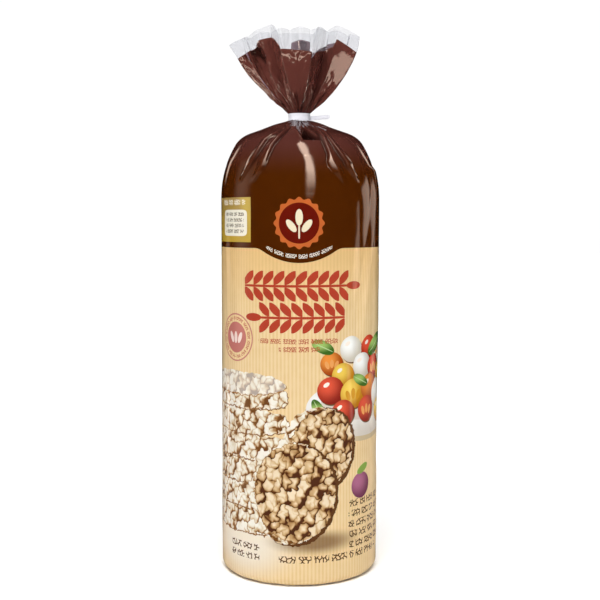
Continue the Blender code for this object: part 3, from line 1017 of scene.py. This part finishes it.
def ramp_tone(add, value, tones):
    """The colour at this value on a ramp of places and colours."""
    ramp = add("ValToRGB", value).node
    ramp.color_ramp.elements.remove(ramp.color_ramp.elements[1])
    for index, (at, colour) in enumerate(tones):
        mark = ramp.color_ramp.elements[0] if index == 0 else ramp.color_ramp.elements.new(at)
        mark.position = at
        mark.color = linear(colour)
    return ramp.outputs["Color"]


PALE_GRAINS = (
    (0.18, "F7F1E4"),
    (0.42, "E8DCC4"),
    (0.60, "D3B68C"),
    (0.76, "A06E3C"),
    (0.92, "6E4119"),
)
DARK_GRAINS = (
    (0.12, "F0DDBD"),
    (0.34, "DDBE90"),
    (0.54, "BE9560"),
    (0.68, "8A5B30"),
    (0.80, "4A2209"),
)


def print_textures(add, place, pictures):
    """The textures of the print, with those of the pictures if wanted, and its coordinates. The
    renderer works out a texture's coordinates late, and would hold every mask ready until then,
    so the coordinates for the masks hang on the textures: they shift by less than 0.01 mm,
    like ink out of register."""
    paper = add("TexNoise", {"Vector": place, "Scale": 0.16, "Detail": 5.0})
    textures = {"paper": paper}
    for name, size in (("net", 1.2), ("coarse", 2.4))[: 1 + pictures]:
        textures[name] = add(
            "TexVoronoi", {"Vector": place, "Scale": 1.0 / size}, voronoi_dimensions="2D",
            feature="DISTANCE_TO_EDGE",
        )
    if pictures:
        jitter = add("TexNoise", {"Vector": place, "Scale": 0.3, "Detail": 4.0}, out="Color")
        # Puffed buckwheat grains are 3 to 5 mm across
        textures["pale"] = grain_depth(add, place, 3.7)
        textures["dark"] = grain_depth(add, place, 4.3)
    drift = paper
    for value in list(textures.values())[1:]:
        drift = add("Math", value, 0.3, drift, operation="MULTIPLY_ADD")
    drift = add("Math", drift, 0.003, operation="MULTIPLY")
    drift = add("CombineXYZ", drift)
    if pictures:
        textures["jitter"] = scatter(add, jitter)
    late = add("VectorMath", place, drift, operation="ADD")
    return textures, late


def cake_layers(add, place, textures):
    """A stack of cakes seen a little from above, and two whole cakes standing in front of it."""
    ragged = add("VectorMath", textures["jitter"], (4.4, 4.4, 0.0), place, operation="MULTIPLY_ADD")
    ragged = add("VectorMath", ragged, (2.2, 2.2, 0.0), operation="SUBTRACT")
    pale = ramp_tone(add, textures["pale"], PALE_GRAINS)
    dark = ramp_tone(add, textures["dark"], DARK_GRAINS)
    # A pale cloth under the cakes, and their shadow on it
    yield haze(add, place, (-38.0, 24.0), (46.0, 26.0), 0.9), "F3E9D8"
    yield haze(add, place, (10.0, 27.0), (36.0, 9.0), 0.8), "6E4A28"
    thickness, low, count, stack = 15.2, 30.0, 6, -42.0
    for index in range(count):
        middle = stack + 2.4 * math.sin(2.3 * index + 0.6)
        height = low + thickness * (index + 0.5)
        below = plate(add, ragged, (middle + 0.3, height - 0.4), (36.2, 0.5 * thickness), 2)
        yield below, "8A5C2E"
        yield plate(add, ragged, (middle, height), (36.0, 0.5 * thickness - 0.3), 2), pale
    top = low + count * thickness
    yield oval(add, ragged, (stack, top - 0.4), (34.9, 7.2)), "A97A45"
    face = oval(add, ragged, (stack, top), (34.6, 7.0))
    yield face, "F8F2E6"
    faint = add("Math", face, 0.6, operation="MULTIPLY")
    yield faint, pale
    for (u, v), (wide, tall) in (((14.0, 84.0), (22.5, 25.0)), ((-4.0, 57.0), (28.0, 31.0))):
        yield oval(add, ragged, (u + 0.5, v - 0.6), (wide + 0.3, tall + 0.3)), "5A3415"
        yield oval(add, ragged, (u - 1.8, v), (wide - 0.4, tall - 0.3)), pale
        yield oval(add, ragged, (u + 0.9, v), (wide - 2.9, tall - 1.5)), "A67C4C"
        yield oval(add, ragged, (u + 1.4, v), (wide - 2.9, tall - 1.7)), dark


def title_layers(add, place, colours):
    """Two grain ears one above the other, and a smaller one on each side of the back."""
    yield ear(add, place, (-2.0, 180.3), 10, 1.0), colours.red
    yield ear(add, place, (2.0, 161.5), 8, -1.0), colours.red
    mirrored = add("VectorMath", place, operation="ABSOLUTE")
    yield ear(add, mirrored, (BACK_MIDDLE, 181.0), 5, 1.0), colours.red


def text_layers(add, place, textures, colours):
    """Rows of small marks, a plum with its leaf, and a pale table on each side of the back."""
    red, text = colours.red, "5A3A1C"
    for height, half in ((147.6, 25.5), (142.9, 12.3)):
        yield lettering(add, place, textures["net"], (0.0, height), (half, 1.5), 1, 4.0), red
    yield ball(add, place, (43.0, 58.0), (8.6, 8.0), "6E3150", "B0688A")
    yield oval(add, place, (44.5, 68.0), (5.6, 2.4), 24.0), "84A548"
    for block in (
        ((51.5, 35.5), (19.5, 2.1), 5, 6.3),
        ((25.0, 16.8), (38.0, 2.1), 1, 5.0),
        ((-37.0, 19.4), (12.0, 1.9), 2, 5.8),
    ):
        yield lettering(add, place, textures["coarse"], *block), text
    mirrored = add("VectorMath", place, operation="ABSOLUTE")
    middle, rows, pitch = (BACK_MIDDLE, 90.0), 9, 9.5
    yield plate(add, mirrored, middle, (25.0, 54.0), 4), "F6EBD2"
    yield lettering(add, mirrored, textures["net"], middle, (20.0, 1.6), rows, pitch), "7A5530"
    height = add("SeparateXYZ", mirrored, out=1)
    shift = 0.5 + rows - middle[1] / pitch
    rule = add("Math", height, 1.0 / pitch, shift, operation="MULTIPLY_ADD")
    rule = add("Math", rule, operation="FRACT")
    rule = add("Math", rule, 0.06, operation="LESS_THAN")
    span = plate(add, mirrored, middle, (21.0, 48.5), 6)
    yield both(add, rule, span), "8A663E"


def ground_tone(add, place, textures, colours):
    """Cream that grows paler downwards with fine upright stripes, under a brown field whose
    lower edge dips below the badge. The brown is redder where the film hangs free."""
    across, height = add("SeparateXYZ", place).node.outputs[:2]
    down = add(
        "MapRange", {"Value": height, "From Min": 205.0, "From Max": 150.0},
        interpolation_type="SMOOTHSTEP",
    )
    cream = add("Mix", {0: down, 6: colours.cream_top, 7: colours.cream}, data_type="RGBA")
    # Printed stripes 2.3 mm apart, uneven like corrugated paper
    turns = add("Math", across, 2.0 * math.pi / 2.3, operation="MULTIPLY")
    wave = add("Math", turns, operation="SINE")
    uneven = add("Math", textures["paper"], 2.2, wave, operation="MULTIPLY_ADD")
    striped = add("MapRange", {"Value": uneven, "From Min": 0.5, "From Max": 2.2, "To Max": 0.5})
    cream = add("Mix", {0: striped, 6: cream, 7: colours.stripe}, data_type="RGBA")
    square = add("Math", across, across, operation="MULTIPLY")
    bowl = add("Math", square, 1.0 / DIP_CURVE, DIP_LOW, operation="MULTIPLY_ADD")
    dip = add("Math", bowl, FIELD_EDGE, 3.0, operation="SMOOTH_MIN")
    above = add("Math", height, dip, operation="GREATER_THAN")
    free = add(
        "MapRange", {"Value": height, "From Min": 244.0, "From Max": 270.0},
        interpolation_type="SMOOTHSTEP",
    )
    brown = add("Mix", {0: free, 6: colours.brown, 7: colours.shoulder}, data_type="RGBA")
    return add("Mix", {0: above, 6: cream, 7: brown}, data_type="RGBA")


def film_shader(add, base):
    """Glossy film over ink: a plastic base under a clear, nearly smooth coat, with a slight
    crinkle."""
    where = add("TexCoord", out="Object")
    crinkle = add("TexNoise", {"Vector": where, "Scale": 160.0, "Detail": 3.0, "Roughness": 0.55})
    bump = add("Bump", {"Strength": 0.10, "Distance": 0.4 * MM, "Height": crinkle})
    plastic = {"Base Color": base, "Roughness": 0.5, "IOR": 1.49, "Specular IOR Level": 0.0}
    coat = {"Coat Weight": 1.0, "Coat Roughness": 0.05, "Coat IOR": 1.5}
    return add("BsdfPrincipled", {**plastic, **coat, "Normal": bump, "Coat Normal": bump})


def speckled(add, scale, colour, other):
    """A fine noise of this scale, and the tone it makes of two colours."""
    where = add("TexCoord", out="Object")
    noise = add("TexNoise", {"Vector": where, "Scale": scale, "Detail": 2.0})
    return noise, add("Mix", {0: noise, 6: colour, 7: other}, data_type="RGBA")


def printed_film(colours, part):
    """Reverse-printed oriented polypropylene film: flat fields of ink seen through a glossy
    clear face, which gives sharp, narrow highlights over even colour. part is the upper or the
    lower part of the body, or the plain ruffle."""
    material, add = new_material("printed polypropylene film, " + part)
    film = add("UVMap", uv_map="film")
    place = add("VectorMath", {0: film, "Scale": 1.0 / MM}, operation="SCALE")
    textures, place = print_textures(add, place, part == "lower")
    tone = ground_tone(add, place, textures, colours)
    layers = {
        "upper": (
            badge_layers(add, place, textures),
            panel_layers(add, place, textures),
            seal_layers(add, place, textures),
            title_layers(add, place, colours),
        ),
        "lower": (
            seal_layers(add, place, textures),
            dish_layers(add, place),
            cake_layers(add, place, textures),
            text_layers(add, place, textures, colours),
        ),
        "ruffle": (),
    }[part]
    for mask, colour in itertools.chain(*layers):
        tone = add("Mix", {0: mask, 6: tone, 7: colour}, data_type="RGBA")
    # Painted shade: the ink darkens towards near black by the painted fold shade, in the folds,
    # where the film lies double and little light gets in, and in the hollow
    depth = add("Attribute", out="Fac", attribute_name="painted_fold_shade")
    tone = add("Mix", {0: depth, 6: tone, 7: "170705"}, data_type="RGBA")
    add("OutputMaterial", film_shader(add, tone))
    return material


def film_reverse(colours):
    """The inside of the printed film: ink seen from its back, greyer and a little purple."""
    material, add = new_material("film reverse side")
    _, tone = speckled(add, 90.0, colours.reverse, "8A7078")
    add("OutputMaterial", film_shader(add, tone))
    return material


def clear_film():
    """Unprinted polypropylene film: see-through, with a slight grey veil that is stronger where
    it is seen edge on, and a weak sharp gloss."""
    material, add = new_material("clear polypropylene film")
    through = add("BsdfTransparent", {"Color": "FCFCFD"})
    sides = [add(kind, {"Color": "E6E8EC"}) for kind in ("BsdfDiffuse", "BsdfTranslucent")]
    veil = add("MixShader", 0.5, sides[0], sides[1])
    grazing = add("LayerWeight", {"Blend": 0.35}, out="Facing")
    amount = add(
        "MapRange",
        {"Value": grazing, "From Min": 0.2, "From Max": 1.0, "To Min": 0.04, "To Max": 0.32},
    )
    hazy = add("MixShader", amount, through, veil)
    gloss = add("BsdfGlossy", {"Color": "FFFFFF", "Roughness": 0.06})
    shader = add("MixShader", 0.04, hazy, gloss)
    add("OutputMaterial", shader)
    return material


def tie_plastic(colours):
    """Extruded white polyethylene: satin, with faint streaks along its length."""
    material, add = new_material("white polyethylene tie")
    streak, tone = speckled(add, 700.0, colours.tie, "E6E6F0")
    bump = add("Bump", {"Strength": 0.1, "Distance": 0.1 * MM, "Height": streak})
    shader = add(
        "BsdfPrincipled", {"Base Color": tone, "Roughness": 0.36, "IOR": 1.51, "Normal": bump}
    )
    add("OutputMaterial", shader)
    return material


def floor_paint(colours):
    """Matt white paper sweep."""
    material, add = new_material("matt white paper")
    _, tone = speckled(add, 900.0, colours.floor, "F7F7F7")
    shader = add(
        "BsdfPrincipled", {"Base Color": tone, "Roughness": 0.9, "Specular IOR Level": 0.0}
    )
    add("OutputMaterial", shader)
    return material


def settle(piece, node):
    """The piece rides on the pack and stands for its solid, which is hidden."""
    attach(piece, "root")
    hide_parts(node)


# Operators


class FILMPACK_OT_body(bpy.types.Operator):
    """Make the filled body with its base, side and gathered shoulder"""

    bl_idname = "film_pack.body"
    bl_label = "Body"

    def execute(self, context):
        rings, film, shares, shade = body_surface(context.scene.film_pack_sizes)
        colours = context.scene.film_pack_colours
        inks = [printed_film(colours, part) for part in ("lower", "upper")]
        slots = (film > PRINT_SPLIT - 0.5 * MM).astype(int)
        body = ring_mesh("film_body", rings, inks, slots, True, film, shares, shade)
        settle(body, "film_bag")
        return {"FINISHED"}


class FILMPACK_OT_ruffle(bpy.types.Operator):
    """Make the printed ruffle above the tie and the clear hem of its mouth"""

    bl_idname = "film_pack.ruffle"
    bl_label = "Ruffle and hem"

    def execute(self, context):
        sizes = context.scene.film_pack_sizes
        colours = context.scene.film_pack_colours
        inks = [printed_film(colours, "ruffle"), film_reverse(colours)]
        _, body_film = body_path()
        outer, lengths, shares, shade = ruffle_surface(sizes)
        inner = outer - normals_of(outer) * sizes.film
        film = body_film[-1] + lengths.mean(axis=1)
        foot = round_axis(
            2.0 * math.pi * (shares + lean_of(shares)),
            np.array([[1.0 * MM], [NECK_RADIUS], [NECK_RADIUS]]),
            np.array([[TIE_TOP - 1.4 * MM], [TIE_TOP - 1.4 * MM], [TIE_TOP - 0.4 * MM]]),
        )
        throat = inner[:1] * np.array([0.3, 0.3, 1.0]) - np.array([0.0, 0.0, 0.4 * MM])
        printed_outer, printed_inner = outer[:PRINT_ROWS], inner[:PRINT_ROWS][::-1]
        rings = np.concatenate((foot, printed_outer, printed_inner, throat))
        along = film[:PRINT_ROWS]
        along = np.concatenate((along[[0, 0, 0]], along, along[::-1], along[:1]))
        slots = np.zeros(len(rings), int)
        slots[len(foot) + PRINT_ROWS :] = 1
        # Painted shade of the folds, on the printed outer face only
        depth = np.zeros(rings.shape[:2])
        depth[len(foot) : len(foot) + PRINT_ROWS] = shade[:PRINT_ROWS]
        ruffle = ring_mesh("film_ruffle", rings, inks, slots, True, along, shares, depth)
        settle(ruffle, "film_bag")
        rings = np.concatenate((outer[PRINT_ROWS - 1 :], inner[PRINT_ROWS - 1 :][::-1]))
        along = np.concatenate((film[PRINT_ROWS - 1 :], film[PRINT_ROWS - 1 :][::-1]))
        slots = np.zeros(len(rings), int)
        hem = ring_mesh("clear_hem", rings, [clear_film()], slots, False, along, shares)
        settle(hem, "film_bag")
        return {"FINISHED"}


def tie_band():
    """Rings of the band: a loop down its inside and up its outside, with a raised rim at each
    edge and a shallow recess between them, turned round the axis."""
    outer, inner = TIE_RADIUS, NECK_RADIUS + 0.3 * MM
    soft, rim = 0.25 * MM, 0.8 * MM
    profile = (
        (inner, TIE_BOTTOM),
        (outer - soft, TIE_BOTTOM),
        (outer, TIE_BOTTOM + soft),
        (outer, TIE_BOTTOM + rim),
        (outer - soft, TIE_BOTTOM + rim + soft),
        (outer - soft, TIE_TOP - rim - soft),
        (outer, TIE_TOP - rim),
        (outer, TIE_TOP - soft),
        (outer - soft, TIE_TOP),
        (inner, TIE_TOP),
    )
    radius, height = np.array(profile).T
    shares = film_shares(120)
    return round_axis(2.0 * math.pi * shares, radius[:, None], height[:, None]), shares


def tie_tail():
    """Rings of the pinched end: a flat bar of oval section that leaves the band's wall and
    rises a little, with two pinches and a rounded tip."""
    tip = 0.94
    ends = 1.0 - 0.06 * (1.0 - np.linspace(0.1, 0.98, 8))
    way = np.concatenate((np.linspace(0.0, tip, 40), ends))
    start, reach = NECK_RADIUS + 0.5 * MM, TAIL_REACH
    along = start + (reach - start) * way
    taper = np.sqrt(np.clip(1.0 - ((way - tip) / 0.06).clip(0.0) ** 2, 0.0, 1.0))
    pinch = 1.0 - 0.16 * hump(way, 0.42, 0.05) - 0.12 * hump(way, 0.7, 0.04)
    turns = np.linspace(0.0, 2.0 * math.pi, 32, endpoint=False)
    squareness = (np.abs(np.cos(turns)) ** 4 + np.abs(np.sin(turns)) ** 4) ** -0.25
    across = 0.45 * MM * np.cos(turns) * squareness
    upwards = 1.3 * MM * np.sin(turns) * squareness
    bearing = math.radians(TAIL_BEARING)
    outwards = np.array((math.sin(bearing), -math.cos(bearing), 0.0))
    sideways = np.array((math.cos(bearing), math.sin(bearing), 0.0))
    middle = 0.5 * (TIE_TOP + TIE_BOTTOM) + 0.5 * MM
    middle = middle + math.tan(TAIL_RISE) * (along - 0.5 * (start + reach))
    across = across[None, :] * taper[:, None]
    rings = along[:, None, None] * outwards + across[:, :, None] * sideways
    rings[:, :, 2] = middle[:, None] + upwards[None, :] * (taper * pinch)[:, None]
    return rings, film_shares(len(turns))


class FILMPACK_OT_tie(bpy.types.Operator):
    """Make the white tie with its pinched tail"""

    bl_idname = "film_pack.tie"
    bl_label = "Tie"

    def execute(self, context):
        plastic = tie_plastic(context.scene.film_pack_colours)
        for name, (rings, shares), poles in (
            ("tie_band", tie_band(), False), ("tie_tail", tie_tail(), True)
        ):
            slots, film = np.zeros(len(rings), int), np.zeros(len(rings))
            piece = ring_mesh(name, rings, [plastic], slots, poles, film, shares)
            settle(piece, "closure_band")
        return {"FINISHED"}


def sun_light(name, bearing, elevation, strength, spread, only=None):
    """A soft sun from this bearing and elevation in degrees. It lights the inks and the floor,
    and the gloss doesn't show it. only limits it to some pieces."""
    light = bpy.data.lights.new(name, "SUN")
    light.energy = strength
    light.angle = math.radians(spread)
    lamp = new_object(name, light)
    lamp.rotation_euler = (math.radians(90.0 - elevation), 0.0, math.radians(bearing))
    lamp.visible_glossy = False
    if only:
        lamp.light_linking.receiver_collection = only


def light_group(name, pieces):
    """A collection of pieces that a light can be limited to."""
    group = bpy.data.collections.new(name)
    for piece in pieces:
        group.objects.link(bpy.data.objects[piece])
    return group


def card_light(name, low, high, width, radiance, fades, only=None):
    """A warm card that only the gloss shows: a strip of this width from one end to the other,
    facing the pack. Its light fades over a part of its width at both sides, and over parts of
    its length at the low and the high end. only limits it to some pieces."""
    low, high = Vector(low), Vector(high)
    middle = (low + high) / 2.0
    along = (high - low).normalized()
    away = middle - Vector((0.0, 0.0, 0.6 * BAG_HIGH.z))
    away = (away - along * away.dot(along)).normalized()
    light = bpy.data.lights.new(name, "AREA")
    light.shape = "RECTANGLE"
    light.size, light.size_y = width, (high - low).length
    light.energy = radiance * math.pi * light.size * light.size_y
    light.color = linear("FFE1CB")[:3]
    light.use_nodes = True
    tree = light.node_tree
    add = functools.partial(add_node, tree)
    spot = add("NewGeometry", out="Parametric")
    across, up = add("SeparateXYZ", spot).node.outputs[:2]
    side, low_end, high_end = fades
    strength = None
    for value, start, full in (
        (across, 0.0, side),
        (across, 1.0, 1.0 - side),
        (up, 0.0, low_end),
        (up, 1.0, 1.0 - high_end),
    ):
        edge = add(
            "MapRange", {"Value": value, "From Min": start, "From Max": full},
            interpolation_type="SMOOTHSTEP",
        )
        strength = both(add, strength, edge) if strength else edge
    tree.links.new(strength, tree.nodes["Emission"].inputs["Strength"])
    lamp = new_object(name, light)
    lamp.matrix_world = Matrix(
        ((*along.cross(away), 0.0), (*along, 0.0), (*away, 0.0), (*middle, 1.0))
    ).transposed()
    lamp.visible_diffuse = False
    lamp.visible_camera = False
    if only:
        lamp.light_linking.receiver_collection = only


# Cards in the gloss: both ends of each in metres, its width, its radiance, and its fades
BODY_CARDS = (
    ("front streak", (0.285, -1.02, 0.26), (0.17, -0.58, 1.08), 0.26, 14.5, (0.3, 0.65, 0.02)),
    ("front streak top", (0.175, -0.6, 1.06), (0.0, -0.36, 1.22), 0.24, 14.0, (0.3, 0.02, 0.1)),
    ("right band top", (0.990, 0.230, 0.200), (0.830, 0.560, 0.330), 0.34, 2.2, (0.2, 0.2, 0.2)),
    ("right band middle", (1.02, -0.16, 0.085), (1.01, 0.14, 0.215), 0.13, 2.2, (0.3, 0.2, 0.2)),
    ("right band low", (1.01, -0.06, -0.12), (0.96, -0.34, 0.06), 0.13, 1.8, (0.4, 0.3, 0.2)),
    ("right edge", (0.730, 0.680, -0.450), (0.730, 0.680, 0.450), 0.10, 1.1, (0.3, 0.1, 0.1)),
    ("left veil", (-0.990, 0.000, -0.500), (-0.900, 0.000, 0.900), 0.80, 0.95, (0.5, 0.3, 0.2)),
    ("left stripe", (-0.780, 0.590, -0.300), (-0.845, 0.560, 0.240), 0.22, 1.3, (0.3, 0.3, 0.2)),
    ("floor glow", (0.0, -3.0, -0.350), (0.0, 3.0, -0.350), 6.00, 0.4, (0.1, 0.1, 0.1)),
    ("left rim", (-0.62, 0.78, 0.32), (-0.55, 0.75, 0.70), 0.16, 2.2, (0.3, 0.3, 0.3)),
    ("right rim", (0.62, 0.78, 0.32), (0.55, 0.75, 0.70), 0.16, 2.2, (0.3, 0.3, 0.3)),
)
# Bearing and elevation of the ends as seen from the ruffle, at 0.6 m
RUFFLE_CARDS = (
    ("right facet", (25.0, -28.0), (23.5, -10.5), 0.12, 6.5, (0.1, 0.06, 0.08)),
    ("left glints", (-122.0, -50.0), (-106.0, -4.0), 0.08, 7.0, (0.2, 0.1, 0.1)),
    ("left glints, near", (-84.0, -46.0), (-76.0, 0.0), 0.07, 8.0, (0.2, 0.1, 0.1)),
    ("left glints, far", (-150.0, -30.0), (-138.0, 20.0), 0.07, 4.0, (0.2, 0.1, 0.1)),
    ("left glints, high", (-140.0, 4.0), (-72.0, 36.0), 0.07, 8.0, (0.2, 0.1, 0.1)),
    ("left glints, low", (-145.0, -62.0), (-84.0, -26.0), 0.07, 8.0, (0.2, 0.1, 0.1)),
    ("middle glints", (-60.0, -40.0), (10.0, -46.0), 0.035, 9.0, (0.2, 0.1, 0.1)),
    ("low glints", (-60.0, -78.0), (120.0, -60.0), 0.07, 8.0, (0.2, 0.1, 0.1)),
    ("upper glints", (-40.0, 14.0), (20.0, 22.0), 0.04, 8.0, (0.2, 0.1, 0.1)),
    ("right glints", (70.0, -40.0), (84.0, 20.0), 0.08, 7.0, (0.2, 0.1, 0.1)),
    ("right glints, far", (128.0, -40.0), (142.0, 10.0), 0.07, 5.0, (0.2, 0.1, 0.1)),
)


def seen_from_ruffle(bearing, elevation):
    """A point 0.6 m from the ruffle's middle in this direction."""
    turn, rise, reach, middle = math.radians(bearing), math.radians(elevation), 0.6, 0.31
    flat = reach * math.cos(rise)
    return flat * math.sin(turn), -flat * math.cos(turn), middle + reach * math.sin(rise)


class FILMPACK_OT_stage(bpy.types.Operator):
    """Make the pale floor, the studio lights and the camera"""

    bl_idname = "film_pack.stage"
    bl_label = "Stage"

    def execute(self, context):
        scene = context.scene
        half = 6.0
        corners = [(x * half, y * half, 0.0) for x, y in ((-1, -1), (1, -1), (1, 1), (-1, 1))]
        mesh = bpy.data.meshes.new("floor")
        mesh.from_pydata(corners, [], [(0, 1, 2, 3)])
        mesh.materials.append(floor_paint(scene.film_pack_colours))
        floor = new_object("floor", mesh)
        floor.visible_glossy = False
        floor.visible_shadow = False

        world = bpy.data.worlds.new("white studio")
        world.use_nodes = True
        tree = world.node_tree
        add = functools.partial(add_node, tree)
        seen = add("LightPath")
        strength = add("MapRange", {"Value": seen, "To Min": 0.2, "To Max": 1.02})
        tree.links.new(strength, tree.nodes["Background"].inputs["Strength"])
        tree.nodes["Background"].inputs["Color"].default_value = linear("FFFFFF")
        world.cycles_visibility.glossy = False
        scene.world = world

        ground = light_group("floor only", ("floor",))
        ruffle, body = light_group("ruffle", ("film_ruffle",)), light_group("body", ("film_body",))
        white = light_group("hem and tie", ("clear_hem", "tie_band", "tie_tail"))
        for sun in (
            ("front sun", -4.0, 62.0, 2.55, 40.0),
            ("back sun", 180.0, 30.0, 0.8, 40.0),
            ("floor sun", 0.0, 90.0, 0.9, 60.0, ground),
            ("hem and tie sun", -14.0, 4.0, 2.2, 20.0, white),
            ("ruffle sun", -30.0, 8.0, 1.5, 8.0, ruffle),
        ):
            sun_light(*sun)
        for card in BODY_CARDS:
            card_light(*card, body)
        for name, low, high, *rest in RUFFLE_CARDS:
            card_light(name, seen_from_ruffle(*low), seen_from_ruffle(*high), *rest, ruffle)

        lens = bpy.data.cameras.new("camera")
        lens.sensor_width = 36.0
        lens.lens = 63.2
        lens.shift_y = -0.03
        eye = new_object("camera", lens)
        eye.location = (0.0005, -0.666, 0.219)
        downwards = 3.35
        eye.rotation_euler = (math.radians(90.0 - downwards), 0.0, 0.0)
        scene.camera = eye
        scene.view_settings.view_transform = "Standard"
        return {"FINISHED"}


class FILMPACK_PT_panel(bpy.types.Panel):
    bl_label = "Film Pack"
    bl_space_type = "VIEW_3D"
    bl_region_type = "UI"
    bl_category = "Film Pack"

    def draw(self, context):
        for group in (context.scene.film_pack_sizes, context.scene.film_pack_colours):
            for name in group.__annotations__:
                self.layout.prop(group, name)
        for operator in PIECES:
            self.layout.operator(operator.bl_idname)


PIECES = (FILMPACK_OT_body, FILMPACK_OT_ruffle, FILMPACK_OT_tie, FILMPACK_OT_stage)
CLASSES = (FilmPackSizes, FilmPackColours) + PIECES + (FILMPACK_PT_panel,)


def register():
    for kind in CLASSES:
        bpy.utils.register_class(kind)
    bpy.types.Scene.film_pack_sizes = bpy.props.PointerProperty(type=FilmPackSizes)
    bpy.types.Scene.film_pack_colours = bpy.props.PointerProperty(type=FilmPackColours)


def unregister():
    del bpy.types.Scene.film_pack_colours
    del bpy.types.Scene.film_pack_sizes
    for kind in reversed(CLASSES):
        bpy.utils.unregister_class(kind)


def main():
    register()
    bpy.ops.film_pack.body()
    bpy.ops.film_pack.ruffle()
    bpy.ops.film_pack.tie()
    bpy.ops.film_pack.stage()


if __name__ == "__main__":
    main()
